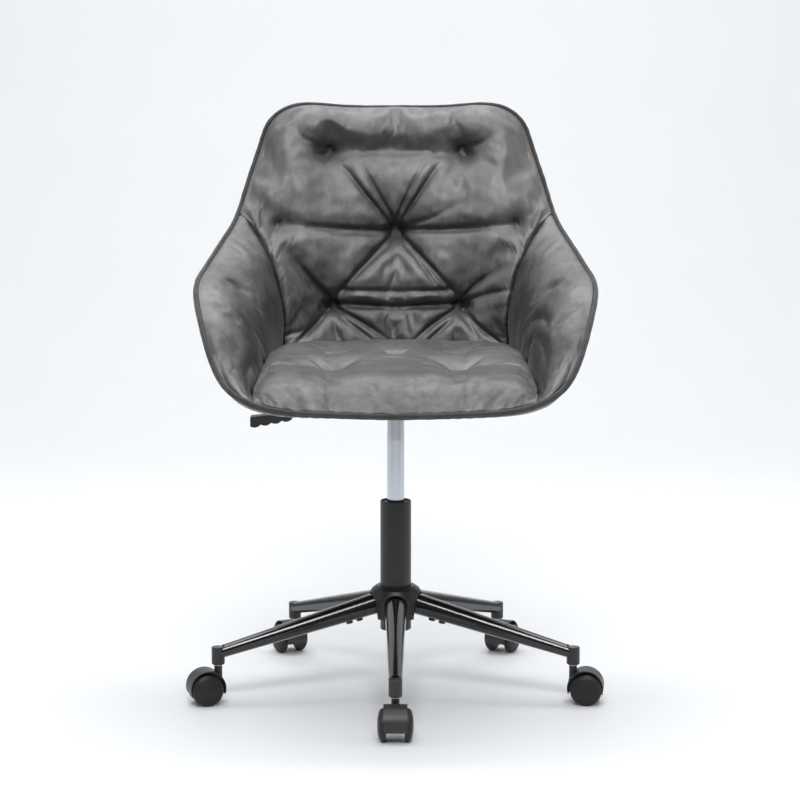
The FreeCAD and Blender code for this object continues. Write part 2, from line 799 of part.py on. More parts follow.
def bent_wire(points):
    """Straight runs through the points, joined by tangent arcs as large as the runs allow."""
    edges = []
    start = points[0]
    for before, corner, after in zip(points, points[1:], points[2:]):
        arriving, leaving = (corner - before).normalize(), (after - corner).normalize()
        turning = arriving.getAngle(leaving)
        shorter = min(before.distanceToPoint(corner), corner.distanceToPoint(after))
        inset = 0.45 * shorter
        near, far = corner - arriving * inset, corner + leaving * inset
        radius = inset / math.tan(turning / 2)
        middle = corner + (leaving - arriving).normalize() * (radius / math.cos(turning / 2) - radius)
        edges.append(Part.LineSegment(start, near).toShape())
        edges.append(Part.Arc(near, middle, far).toShape())
        start = far
    edges.append(Part.LineSegment(start, points[-1]).toShape())
    return Part.Wire(edges)


def tube(points, radius):
    """A round bar along the points, with its volume tested against section times length."""
    path = bent_wire(points)
    section = Part.Wire(Part.Circle(points[0], points[1] - points[0], radius).toShape())
    solid = path.makePipeShell([section], True, True)
    wanted = math.pi * radius ** 2 * path.Length
    if abs(abs(solid.Volume) - wanted) > 0.02 * wanted:
        raise ValueError("a swept bar has the wrong volume")
    return solid


def lever():
    radius = mm("lever_radius")
    pivot = Vector(-mm("pivot_offset"), 0, mm("pivot_height"))
    striker = mm(STRIKER_HEIGHT)
    rise_x = pivot.x + 2 * radius + 3
    end_x = -mm("lever_end") + 14
    grip_start = Vector(-mm("grip_start"), 0, mm("grip_start_height"))
    along = Vector(-mm("lever_end"), 0, mm("lever_end_height")) - grip_start
    rod_end = grip_start + along * ((end_x - grip_start.x) / along.x)
    rod = tube([
        Vector(mm("striker_reach"), 0, striker),
        Vector(rise_x, 0, striker),
        Vector(pivot.x, 0, pivot.z),
        grip_start,
        rod_end,
    ], radius)
    half = mm("ear_inset - face_gap")
    eye = Part.makeCylinder(mm("lever_eye"), 2 * half, pivot - Vector(0, half, 0), Vector(0, 1, 0))
    bore = Part.makeCylinder(mm("pivot_radius + running_gap"), 4 * half, pivot - Vector(0, 2 * half, 0), Vector(0, 1, 0))
    solid_feature("lever_rod", rod.fuse(eye).cut(bore).removeSplitter())

    pin = new_body("lever_pivot_pin")
    sketch = circle(new_sketch(pin, "XZ_Plane"), "-pivot_offset", "pivot_height", "pivot_radius")
    extrude(pin, "Pad", sketch, "2 * (ear_inset + ear_thickness + 1)", True)
    keep("lever_pivot_pin", pin)

    grip = new_body("lever_grip")
    start_x, end_x = "-grip_start", "-lever_end"
    wave = "(lever_end - grip_start) / 4"
    top = "grip_start_height + grip_thin / 2"
    end_top = "lever_end_height + grip_thin / 2"
    foot = "grip_start_height - grip_thin / 2"
    drop = "(grip_start_height - lever_end_height + grip_thick - grip_thin) / 4"
    corners = [("%s - %s * %d" % (start_x, wave, step), "%s - %s * %d" % (foot, drop, step)) for step in range(5)]
    corners = [corners[4]] + [corner + ("lever_end / 18",) for corner in corners[3:0:-1]] + [corners[0]]
    corners[1:4] = [(x, z, radius) for x, z, radius in corners[1:4]]
    outline = [corners[0] + ("lever_end / 18",)] + list(corners[1:4]) + [corners[4], (start_x, top), (end_x, end_top)]
    sketch = polygon(new_sketch(grip, "XZ_Plane"), outline)
    extrude(grip, "Pad", sketch, "grip_width", True)
    doc.recompute()
    rod_space = doc.addObject("Part::Feature", "GripBore")
    core = Part.makeCylinder(radius, (rod_end - grip_start).Length + 20, grip_start - along.normalize() * 20, along)
    rod_space.Shape = core
    keep("lever_grip", cut("grip_cut", grip, rod_space))


# ---- shell: sections in upright planes through the shell axis ----

AXIS_Y = mm("shell_axis_y")
FLOOR = mm("shell_floor")
FLOOR_WIDTH = mm("floor_half_width")
FLOOR_DEPTH = mm("floor_half_depth")
ROUNDNESS = mm("floor_roundness")


def rim_points():
    """The rim's points on the right-hand side, from the back to the front."""
    width, depth, height = mm("shell_half_width"), mm("shell_half_depth"), mm("shell_height")
    return [Vector(x * width, AXIS_Y + y * depth, FLOOR + z * height) for x, y, z in RIM_SHAPE]


def mirrored(points):
    return [Vector(-point.x, point.y, point.z) for point in points]


def whole_rim():
    right = rim_points()
    return right + mirrored(right[-2:0:-1])


def rim_curve():
    curve = Part.BSplineCurve()
    curve.interpolate(Points=whole_rim(), PeriodicFlag=True)
    return curve


RIM = rim_curve()
RIM_STEPS = 720
RIM_SAMPLES = [RIM.value(RIM.FirstParameter + (RIM.LastParameter - RIM.FirstParameter) * step / RIM_STEPS)
               for step in range(RIM_STEPS)]


def rim_at(angle):
    """Distance from the shell axis and height of the rim in the direction of an angle."""
    wanted = (90 - angle) % 360
    reading = []
    for point in RIM_SAMPLES:
        turn = (90 - math.degrees(math.atan2(point.y - AXIS_Y, point.x))) % 360
        reading.append((turn, math.hypot(point.x, point.y - AXIS_Y), point.z))
    reading.sort()
    reading.append((reading[0][0] + 360,) + reading[0][1:])
    reading.insert(0, (reading[-2][0] - 360,) + reading[-2][1:])
    for low, high in zip(reading, reading[1:]):
        if low[0] <= wanted <= high[0]:
            share = (wanted - low[0]) / max(high[0] - low[0], 1e-9)
            return low[1] + (high[1] - low[1]) * share, low[2] + (high[2] - low[2]) * share


def rim_slope(angle):
    """Cosine of the angle between the rim and level ground."""
    (behind, low), (ahead, high) = rim_at(angle + 1), rim_at(angle - 1)
    before, after = at_angle(angle + 1, behind, low), at_angle(angle - 1, ahead, high)
    run = math.hypot(after.x - before.x, after.y - before.y)
    return run / math.hypot(run, high - low)


def floor_at(angle):
    """Distance from the shell axis to the corner between floor and wall."""
    turn = math.radians(angle)
    across = abs(math.cos(turn)) / FLOOR_WIDTH
    along = abs(math.sin(turn)) / (FLOOR_DEPTH if math.sin(turn) > 0 else mm("floor_front_depth"))
    return (across ** ROUNDNESS + along ** ROUNDNESS) ** (-1 / ROUNDNESS)


def at_angle(angle, distance, height):
    turn = math.radians(angle)
    return Vector(distance * math.cos(turn), AXIS_Y + distance * math.sin(turn), height)


class Wall:
    """The shell's section at one angle: a flat floor, a bend and a straight wall to the rim."""

    def __init__(self, angle):
        self.angle = angle
        self.rim_distance, self.rim_height = rim_at(angle)
        self.corner = floor_at(angle)
        run = self.rim_distance - self.corner
        rise = self.rim_height - FLOOR
        self.lean = math.atan2(run, rise)
        self.half_turn = (math.pi / 2 - self.lean) / 2
        longest = 0.85 * math.hypot(run, rise) / math.tan(self.half_turn)
        self.bend = min(mm("floor_bend"), longest)
        self.bend_start = self.corner - self.bend * math.tan(self.half_turn)

    def face(self, depth, height):
        """Distance from the shell axis of the wall's face at a depth inside the outer surface."""
        return self.corner + (height - FLOOR) * math.tan(self.lean) - depth / math.cos(self.lean)

    def inside(self, depth, height):
        """Like face, but it follows the bend below the wall."""
        radius = self.bend - depth
        below = self.bend - (height - FLOOR)
        if below <= self.bend * math.cos(2 * self.half_turn):
            return self.face(depth, height)
        return self.bend_start + math.sqrt(radius ** 2 - below ** 2)

    def point(self, distance, height):
        return at_angle(self.angle, distance, height)

    def on_bend(self, depth, share):
        """A point on the bend, from the floor at share 0 to the wall at share 1."""
        radius = self.bend - depth
        turn = 2 * self.half_turn * share
        return self.point(self.bend_start + radius * math.sin(turn), FLOOR + self.bend - radius * math.cos(turn))

    def layer(self, outer, inner, top, hem=0.0):
        """A closed wire between two depths, from the hem under the floor up to the top."""
        def half(depth, reverse):
            start = self.point(self.bend_start - hem, FLOOR + depth)
            bottom, middle, end = (self.on_bend(depth, share) for share in (0, 0.5, 1))
            crest = self.point(self.face(depth, top), top)
            edges = [Part.Arc(bottom, middle, end).toShape(), Part.LineSegment(end, crest).toShape()]
            if hem:
                edges.insert(0, Part.LineSegment(start, bottom).toShape())
            return edges[::-1] if reverse else edges, start if hem else bottom, crest
        outside, outside_start, outside_top = half(outer, False)
        inside, inside_start, inside_top = half(inner, True)
        crown = Part.LineSegment(outside_top, inside_top).toShape()
        closing = Part.LineSegment(inside_start, outside_start).toShape()
        return Part.Wire(outside + [crown] + inside + [closing])


def spread(first, last, step):
    """Angles from first to last, evenly spaced."""
    count = max(2, round(abs(last - first) / step))
    return [first + (last - first) * index / count for index in range(count + 1)]


def loft(wires):
    solid = Part.makeLoft(wires, True, True)
    if solid.Volume < 0:
        solid.reverse()
    return solid


def shell_layers():
    below_rim = mm("piping_radius + rim_gap")
    cover_outer, cover_inner = 0.0, mm("skin")
    frame_outer = cover_inner + mm("face_gap")
    frame_inner = frame_outer + mm("frame_wall")

    def cover_wire(angle):
        wall = Wall(angle)
        top = wall.rim_height - below_rim * math.cos(wall.lean) / rim_slope(angle)
        return wall.layer(cover_outer, cover_inner, top, mm("hem"))

    right = loft([cover_wire(angle) for angle in spread(90, -90, 4)])
    left = right.mirror(Vector(0, 0, 0), Vector(1, 0, 0))
    solid_feature("outer_cover", right.fuse(left))

    def frame_wire(angle):
        wall = Wall(angle)
        return wall.layer(frame_outer, frame_inner, wall.rim_height - 2 * below_rim)

    right = loft([frame_wire(angle) for angle in spread(90, mm("arm_front_angle"), 4)])
    left = right.mirror(Vector(0, 0, 0), Vector(1, 0, 0))
    solid_feature("shell_frame", right.fuse(left))


def pad_depth(angle, level):
    """The pad's thickness at an angle, which grows from the arms to the middle of the back."""
    share = max(0.0, math.sin(math.radians(angle))) ** 2
    arm, back = mm("arm_pad_" + level), mm("back_pad_" + level)
    return arm + (back - arm) * share


def pad_wire(angle):
    wall = Wall(angle)
    behind = mm("skin + frame_wall + 2 * face_gap + pad_gap")
    foot = FLOOR + mm("pad_foot")
    top = wall.rim_height - mm("piping_radius + face_gap")
    roll = min(mm("pad_roll"), (top - foot) * 0.6)
    low, high = pad_depth(angle, "low"), pad_depth(angle, "high")
    high = low + (high - low) * min(1.0, (top - foot) / (0.5 * mm("shell_height")))
    corners = (
        (wall.face(behind, foot), foot),
        (wall.face(low, foot), foot),
        (wall.face(high, top - roll), top - roll),
        (wall.face(high * 0.62, top - roll * 0.25), top - roll * 0.25),
        (wall.face(behind, top) - 1, top),
    )
    points = [wall.point(*corner) for corner in corners]
    return Part.makePolygon(points + points[:1])


def pads():
    seam, front = mm("seam_angle"), mm("arm_front_angle")
    gap = 0.15
    half_back = loft([pad_wire(angle) for angle in spread(90, seam + gap, 4)])
    other = half_back.mirror(Vector(0, 0, 0), Vector(1, 0, 0))
    solid_feature("back_pad", half_back.fuse(other))
    arm = loft([pad_wire(angle) for angle in spread(seam - gap, front, 4)])
    solid_feature("arm_pad_right", arm)
    solid_feature("arm_pad_left", arm.mirror(Vector(0, 0, 0), Vector(1, 0, 0)))


def seat_board():
    body = new_body("seat_board")
    back, front = "board_middle_y + board_half_depth", "board_middle_y - board_half_depth"
    outline = rectangle(new_sketch(body, "XY_Plane", BOARD_FLOOR), "-board_half_width", front,
                        "board_half_width", back)
    slab = extrude(body, "Pad", outline, "board_thickness")
    doc.recompute()
    upright = ["Edge%d" % number for number, edge in enumerate(slab.Shape.Edges, 1)
               if abs(edge.tangentAt(edge.FirstParameter).z) > 0.99]
    rounding = body.newObject("PartDesign::Fillet", "Fillet")
    rounding.Base = (slab, upright)
    rounding.setExpression("Radius", bound("board_corner"))
    doc.recompute()
    opening = rectangle(new_sketch(body, "XY_Plane", BOARD_HEAD), "-pivot_offset - 12", "-25",
                        "lift_radius + socket_wall + 10", "25")
    extrude(body, "Pocket", opening, "board_thickness")
    barrels = new_sketch(body, "XY_Plane", BOARD_HEAD)
    flanges = new_sketch(body, "XY_Plane", BOARD_HEAD)
    for x in ("plate_bolt_x", "-plate_bolt_x"):
        for y in ("plate_bolt_y", "-plate_bolt_y"):
            circle(barrels, x, y, "nut_radius")
            circle(flanges, x, y, "nut_flange")
    extrude(body, "Pocket", barrels, "board_thickness")
    extrude(body, "Pocket", flanges, "nut_flange_thickness")
    keep("seat_board", body)


def dust_cover():
    body = new_body("dust_cover")
    margin = "dust_cover_margin"
    floor = "shell_floor - face_gap - dust_cover_thickness"
    back = "board_middle_y + board_half_depth - " + margin
    front = "board_middle_y - board_half_depth + " + margin
    outline = rectangle(new_sketch(body, "XY_Plane", floor), "-board_half_width + " + margin, front,
                        "board_half_width - " + margin, back)
    slab = extrude(body, "Pad", outline, "dust_cover_thickness")
    doc.recompute()
    upright = ["Edge%d" % number for number, edge in enumerate(slab.Shape.Edges, 1)
               if abs(edge.tangentAt(edge.FirstParameter).z) > 0.99]
    rounding = body.newObject("PartDesign::Fillet", "Fillet")
    rounding.Base = (slab, upright)
    rounding.setExpression("Radius", bound("board_corner - " + margin))
    doc.recompute()
    opening = centred(new_sketch(body, "XY_Plane", floor), "plate_half_length + 2", "plate_half_width + 2")
    extrude(body, "Pocket", opening, "dust_cover_thickness", flip=True)
    keep("dust_cover", body)


def seat_pad():
    """A slab inside the arms and the back, open to the front, which slopes to a rolled front edge."""
    foot = mm(BOARD_HEAD + " + face_gap")
    level, front_level = mm("seat_height"), mm("seat_front_height")
    shoulder = FLOOR + mm("seat_shoulder")
    front_angle = mm("arm_front_angle")
    gap = mm("face_gap + pad_gap")

    def at_side(angle):
        return Wall(angle).face(pad_depth(angle, "low"), FLOOR + mm("pad_foot")) - gap

    def reach(angle):
        if angle >= front_angle:
            return at_side(angle)
        share = min(1.0, (front_angle - angle) / mm("seat_corner_spread"))
        wall = Wall(angle)
        at_rim = min(wall.rim_distance - mm("piping_radius + skin") - gap, wall.face(mm("skin") + 2 * gap, shoulder))
        return at_side(front_angle) * (1 - share) + at_rim * share

    def low_reach(angle):
        return min(reach(angle), Wall(angle).inside(mm("skin + frame_wall") + gap, foot) - gap)

    def outline(distance, height):
        right = [at_angle(angle, distance(angle), height) for angle in spread(90, -90, 3)]
        around = right + mirrored(right[-2:0:-1])
        return Part.makePolygon(around + around[:1])

    shoulder_wire = outline(reach, shoulder)
    lower = Part.makeLoft([outline(low_reach, foot), shoulder_wire], True, True)
    upper = Part.Face(shoulder_wire).extrude(Vector(0, 0, max(level, front_level) + 10 - shoulder))
    front = AXIS_Y - reach(-90)
    slope_y = front + mm("seat_front_back")
    flat_y = front + mm("seat_slope_back")
    rear = AXIS_Y + FLOOR_DEPTH
    roll = mm("seat_front_roll")
    profile = [
        (front, foot),
        (front, front_level - 1.6 * roll),
        (front + 0.3 * roll, front_level - 0.8 * roll),
        (front + roll, front_level - 0.25 * roll),
        (slope_y, front_level),
        (flat_y, level),
        (rear, level),
        (rear, foot),
    ]
    side = [Vector(-2 * FLOOR_WIDTH, y, z) for y, z in profile]
    bar = Part.Face(Part.makePolygon(side + side[:1])).extrude(Vector(4 * FLOOR_WIDTH, 0, 0))
    start, end = -mm("pivot_offset") - 14, mm("lift_radius + socket_wall") + 12
    pocket = Part.makeBox(end - start, 54, mm("pocket_depth"), Vector(start, -27, foot))
    solid_feature("seat_pad", lower.fuse(upper).common(bar).cut(pocket).removeSplitter())


def piping():
    right = [at_angle(angle, *rim_at(angle)) for angle in spread(90, -90, 5)]
    half = tube(right, mm("piping_radius"))
    other = half.mirror(Vector(0, 0, 0), Vector(1, 0, 0))
    solid_feature("piping", half.fuse(other))


# ---- build, test and write ----

column()
thrust_bearing()
piston_rod()
gas_cylinder()
hub()
for leg_name, leg_angle in LEG_ANGLES.items():
    leg(leg_name, leg_angle, leg_bolt_shapes("leg_bolt_radius + 0.2", "-1", "leg_wall + 3"))
leg_bolts()
stem_sleeves()
for leg_name in LEG_ANGLES:
    caster_stem(leg_name)
    caster_hood(leg_name)
    caster_axle(leg_name)
    caster_wheel(leg_name, "left", 1)
    caster_wheel(leg_name, "right", -1)
mechanism_plate()
plate_fasteners()
lever()
seat_board()
dust_cover()
shell_layers()
pads()
seat_pad()
piping()
doc.recompute()

for item in doc.Objects:
    if {"Invalid", "Error"} & set(item.State):
        raise ValueError("%s did not build" % item.Label)
for label, item in parts.items():
    if item.Shape.isNull() or not item.Shape.isValid() or not item.Shape.Solids:
        raise ValueError("%s has no valid solid" % label)

os.makedirs("parts", exist_ok=True)
for label, item in parts.items():
    item.Shape.exportStep("parts/%s.step" % label)
print(len(parts), "sub-parts written")
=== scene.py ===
import math
import bpy
import numpy as np
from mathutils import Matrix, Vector


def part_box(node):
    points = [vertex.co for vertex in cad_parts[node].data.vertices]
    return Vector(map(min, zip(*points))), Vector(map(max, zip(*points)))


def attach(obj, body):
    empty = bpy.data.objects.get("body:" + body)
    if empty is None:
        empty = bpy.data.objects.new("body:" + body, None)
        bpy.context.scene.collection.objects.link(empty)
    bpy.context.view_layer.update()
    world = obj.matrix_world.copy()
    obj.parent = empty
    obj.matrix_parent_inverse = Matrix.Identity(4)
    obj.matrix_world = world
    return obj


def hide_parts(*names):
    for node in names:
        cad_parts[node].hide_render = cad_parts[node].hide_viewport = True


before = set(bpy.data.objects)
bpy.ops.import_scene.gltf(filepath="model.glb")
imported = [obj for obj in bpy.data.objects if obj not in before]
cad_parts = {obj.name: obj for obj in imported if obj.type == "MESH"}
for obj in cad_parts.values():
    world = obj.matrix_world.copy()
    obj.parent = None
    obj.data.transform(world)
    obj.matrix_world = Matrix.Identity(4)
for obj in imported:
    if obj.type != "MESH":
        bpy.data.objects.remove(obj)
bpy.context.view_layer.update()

shell = {
    "halfWidth": 0.314, "halfDepth": 0.295, "height": 0.471,
    "floor": 0.468, "axisY": -0.020,
    "floorHalfWidth": 0.262, "floorHalfDepth": 0.242, "floorFrontDepth": 0.150, "roundness": 3.4,
    "bend": 0.070,
}

# The rim from the middle of the back to the middle of the front, as shares of the shell's sizes.
rimShape = [
    (0.000, 1.000, 1.000), (0.320, 0.992, 1.004), (0.590, 0.960, 0.996), (0.683, 0.930, 0.945),
    (0.727, 0.898, 0.872), (0.787, 0.797, 0.746), (0.841, 0.661, 0.624), (0.897, 0.445, 0.551),
    (0.978, 0.105, 0.459), (1.000, -0.168, 0.404), (0.966, -0.356, 0.323), (0.924, -0.490, 0.243),
    (0.862, -0.608, 0.154), (0.785, -0.710, 0.103), (0.650, -0.785, 0.064), (0.385, -0.832, 0.045),
    (0.000, -0.847, 0.039),
]


def closedSpline(points, perSpan):
    # a smooth closed curve through the points
    points = np.array(points)
    count = len(points)
    step = np.linalg.norm(np.roll(points, -1, axis=0) - points, axis=1)
    matrix, right = np.zeros((count, count)), np.zeros((count, 3))
    for i in range(count):
        before, after, following = step[i - 1], step[i], (i + 1) % count
        matrix[i, i - 1] += before
        matrix[i, i] += 2 * (before + after)
        matrix[i, following] += after
        right[i] = 6 * ((points[following] - points[i]) / after - (points[i] - points[i - 1]) / before)
    bend = np.linalg.solve(matrix, right)
    curve = []
    for i in range(count):
        span, following = step[i], (i + 1) % count
        for share in np.linspace(0, 1, perSpan, endpoint=False):
            a, b = (1 - share) * span, share * span
            curve.append(
                bend[i] * a ** 3 / (6 * span) + bend[following] * b ** 3 / (6 * span)
                + (points[i] / span - bend[i] * span / 6) * a
                + (points[following] / span - bend[following] * span / 6) * b)
    return np.array(curve)


rightRim = [(x * shell["halfWidth"], shell["axisY"] + y * shell["halfDepth"],
             shell["floor"] + z * shell["height"]) for x, y, z in rimShape]
rimLine = closedSpline(rightRim + [(-x, y, z) for x, y, z in rightRim[-2:0:-1]], 24)
rimTurn = np.arctan2(rimLine[:, 1] - shell["axisY"], rimLine[:, 0])
rimReach = np.hypot(rimLine[:, 0], rimLine[:, 1] - shell["axisY"])


def rimAt(turn):
    return (np.interp(turn, rimTurn, rimReach, period=2 * math.pi),
            np.interp(turn, rimTurn, rimLine[:, 2], period=2 * math.pi))


def floorAt(turn):
    power = shell["roundness"]
    depth = np.where(np.sin(turn) > 0, shell["floorHalfDepth"], shell["floorFrontDepth"])
    return ((np.abs(np.cos(turn)) / shell["floorHalfWidth"]) ** power
            + (np.abs(np.sin(turn)) / depth) ** power) ** (-1 / power)


def atTurn(turn, reach, height):
    return np.stack([reach * np.cos(turn), shell["axisY"] + reach * np.sin(turn),
                     np.broadcast_to(height, np.shape(reach))], axis=-1)


def wallAt(turn, depth, height):
    # distance from the shell's axis to the straight wall, at a depth inside its outer face
    reach, top = rimAt(turn)
    lean = np.arctan2(reach - floorAt(turn), top - shell["floor"])
    return floorAt(turn) + (height - shell["floor"]) * np.tan(lean) - depth / np.cos(lean)


def bendAt(turn):
    # the bend between floor and wall: where it starts, its radius and half the angle it turns
    reach, top = rimAt(turn)
    corner = floorAt(turn)
    run, rise = reach - corner, top - shell["floor"]
    halfTurn = (math.pi / 2 - np.arctan2(run, rise)) / 2
    bend = np.minimum(shell["bend"], 0.85 * np.hypot(run, rise) / np.tan(halfTurn))
    return corner - bend * np.tan(halfTurn), bend, halfTurn


def insideAt(turn, depth, height):
    # like wallAt, but it follows the bend below the wall
    start, bend, halfTurn = bendAt(turn)
    below = bend - (height - shell["floor"])
    curved = start + np.sqrt(np.maximum((bend - depth) ** 2 - below ** 2, 0))
    return np.where(below <= bend * np.cos(2 * halfTurn), wallAt(turn, depth, height), curved)


def smooth(value):
    value = np.clip(value, 0, 1)
    return value * value * (3 - 2 * value)


def evenly(line, count):
    # evenly spaced points along a line
    run = np.concatenate([[0], np.cumsum(np.linalg.norm(np.diff(line, axis=0), axis=1))])
    at = np.linspace(0, run[-1], count)
    return np.stack([np.interp(at, run, line[:, k]) for k in range(line.shape[1])], axis=-1)


def throughPoints(points, count):
    # evenly spaced points on a smooth open curve
    points = np.array(points, float)
    ends = np.vstack([2 * points[0] - points[1], points, 2 * points[-1] - points[-2]])
    curve = []
    for i in range(1, len(ends) - 2):
        a, b, c, d = ends[i - 1:i + 3]
        for t in np.linspace(0, 1, 12, endpoint=False):
            curve.append(0.5 * (2 * b + (c - a) * t + (2 * a - 5 * b + 4 * c - d) * t * t
                                + (3 * b - a - 3 * c + d) * t ** 3))
    curve = np.vstack([curve, points[-1]])
    return evenly(curve, count)


# The face of the padding in upright sections: for each angle from the right-hand side, in degrees,
# the distance from the shell's axis and the height of seven points, from the hidden foot up to the rim.
padFace = {
    90: [(.165, .500), (.171, .552), (.194, .640), (.222, .745), (.247, .850), (.264, .912), (.279, .9375)],
    65: [(.1755, .500), (.1814, .552), (.2048, .640), (.233, .745), (.258, .850), (.277, .912),
        (.299, .9385)],
    50: [(.193, .500), (.199, .552), (.221, .630), (.246, .720), (.270, .800), (.299, .852), (.327, .881)],
    37: [(.232, .500), (.234, .549), (.231, .600), (.243, .655), (.266, .705), (.290, .740), (.309, .758)],
    20: [(.205, .500), (.208, .550), (.213, .600), (.228, .645), (.249, .682), (.272, .706), (.291, .717)],
    0: [(.201, .500), (.204, .550), (.211, .590), (.226, .625), (.245, .652), (.267, .671), (.289, .678)],
    -18.5: [(.217, .495), (.2204, .541), (.230, .570), (.245, .595), (.262, .613), (.281, .625),
        (.301, .628)],
    -31.3: [(.246, .485), (.2503, .529), (.259, .545), (.270, .556), (.282, .562), (.295, .564),
        (.309, .562)],
    -39.5: [(.279, .480), (.2832, .517), (.289, .524), (.295, .528), (.302, .529), (.309, .5285),
        (.316, .526)],
    -45.3: [(.300, .475), (.3027, .504), (.305, .508), (.308, .5095), (.311, .510), (.314, .5095),
        (.318, .508)],
    -48: [(.312, .472), (.3140, .496), (.3155, .498), (.317, .499), (.3185, .4995), (.320, .4995),
        (.3213, .499)],
}
faceLowest = 0.47
pipingInset = 0.0012
coverDepth = 0.0045


def faceTable():
    # the table above, read every half degree and smoothed from angle to angle
    keys = sorted(padFace)
    rows = []
    for angle in keys:
        reach, top = rimAt(math.radians(angle))
        rows.append([(r - reach, (z - faceLowest) / (top - faceLowest)) for r, z in padFace[angle]])
    rows = np.array(rows)
    angles = np.arange(-60, 120.25, 0.5)
    folded = np.where(angles > 90, 180 - angles, angles)
    dense = np.stack([np.stack([np.interp(folded, keys, rows[:, i, k]) for k in (0, 1)], axis=-1)
                      for i in range(7)], axis=1)
    spread = np.exp(-0.5 * (np.arange(-14, 15) / 5) ** 2)
    spread /= spread.sum()
    padded = np.concatenate([np.repeat(dense[:1], 14, axis=0), dense, np.repeat(dense[-1:], 14, axis=0)])
    dense = sum(weight * padded[i:i + len(dense)] for i, weight in enumerate(spread))
    return angles, dense


faceAngles, faceRows = faceTable()


def facePoints(angle, count):
    # the padding's face at an angle in degrees: points in (reach, height) from the foot to the rim
    folded = 180 - angle if angle > 90 else angle
    reach, top = rimAt(math.radians(folded))
    points = []
    for i in range(7):
        inset = np.interp(folded, faceAngles, faceRows[:, i, 0])
        share = np.interp(folded, faceAngles, faceRows[:, i, 1])
        points.append((reach + inset, faceLowest + share * (top - faceLowest)))
    points.append((reach - pipingInset, top - 0.0006))
    return throughPoints(points, count)


def meshObject(name, points, faces, material=None):
    mesh = bpy.data.meshes.new(name)
    mesh.from_pydata([tuple(p) for p in points], [], faces)
    mesh.validate()
    mesh.update()
    mesh.shade_smooth()
    piece = bpy.data.objects.new(name, mesh)
    bpy.context.scene.collection.objects.link(piece)
    if material:
        mesh.materials.append(material)
    return piece


def outward(piece):
    # merges doubles and turns the faces outwards
    bpy.context.view_layer.objects.active = piece
    for other in bpy.context.selected_objects:
        other.select_set(False)
    piece.select_set(True)
    bpy.ops.object.mode_set(mode="EDIT")
    bpy.ops.mesh.select_all(action="SELECT")
    bpy.ops.mesh.remove_doubles(threshold=0.00002)
    bpy.ops.mesh.normals_make_consistent(inside=False)
    bpy.ops.object.mode_set(mode="OBJECT")
    piece.data.shade_smooth()
    piece.select_set(False)
    return piece


def loopFaces(columns, rows, closedColumns=False, closedRows=True):
    faces = []
    for i in range(columns if closedColumns else columns - 1):
        for j in range(rows if closedRows else rows - 1):
            a, b = i * rows + j, i * rows + (j + 1) % rows
            c, d = (i + 1) % columns * rows + (j + 1) % rows, (i + 1) % columns * rows + j
            faces.append((a, b, c, d))
    return faces


def zipFaces(first, second):
    # triangles between two rows of points that run the same way
    faces, i, j = [], 0, 0
    while i < len(first) - 1 or j < len(second) - 1:
        if j == len(second) - 1 or (i < len(first) - 1 and i * (len(second) - 1) <= j * (len(first) - 1)):
            faces.append((first[i], first[i + 1], second[j]))
            i += 1
        else:
            faces.append((first[i], second[j + 1], second[j]))
            j += 1
    return faces


def coordinates(mesh):
    points = np.empty(len(mesh.vertices) * 3, np.float32)
    mesh.vertices.foreach_get("co", points)
    return points.reshape(-1, 3).astype(float)


def normals(mesh):
    points = np.empty(len(mesh.vertices) * 3, np.float32)
    mesh.vertex_normals.foreach_get("vector", points)
    return points.reshape(-1, 3).astype(float)


def setCoordinates(piece, points):
    piece.data.vertices.foreach_set("co", points.astype(np.float32).ravel())
    piece.data.update()


def pushAlong(piece, amount):
    # moves every point along its normal
    setCoordinates(piece, coordinates(piece.data) + normals(piece.data) * amount[:, None])


def applyModifiers(piece):
    graph = bpy.context.evaluated_depsgraph_get()
    made = bpy.data.meshes.new_from_object(piece.evaluated_get(graph), depsgraph=graph)
    old = piece.data
    piece.modifiers.clear()
    piece.data = made
    bpy.data.meshes.remove(old)
    piece.data.shade_smooth()
    piece.data.name = piece.name
    return piece


def subdivide(piece):
    finer = piece.modifiers.new("finer", "SUBSURF")
    finer.levels = finer.render_levels = 1
    return applyModifiers(piece)


# painted light on the velvet: which way the cloth faces where it is painted lighter, how sharply it turns,
# and where painted shade darkens it low down
paintedLight = {"faces": (0, -0.35, 0.94), "gain": 2.4, "brightest": 0.8, "lowFrom": 0.67, "lowOver": 0.09}


def paintLight(piece, share, middle, lowShade):
    # painted light: the colour is painted lighter where the cloth faces up and forwards towards the lamps,
    # and painted shade darkens it low down
    lightFacing = normals(piece.data) @ np.array(paintedLight["faces"])
    values = share * np.clip((lightFacing - middle) * paintedLight["gain"], -1, paintedLight["brightest"])
    values -= lowShade * smooth((paintedLight["lowFrom"] - coordinates(piece.data)[:, 2]) / paintedLight["lowOver"])
    attribute = piece.data.attributes.new("napAndPaintedLight", "FLOAT", "POINT")
    attribute.data.foreach_set("value", values.astype(np.float32))


# the cloth that every cushion is stuffed with
stuffing = {"mass": 0.25, "stretch": 22, "shear": 12, "bending": 0.35, "damping": 12, "air": 4,
    "frames": 20}


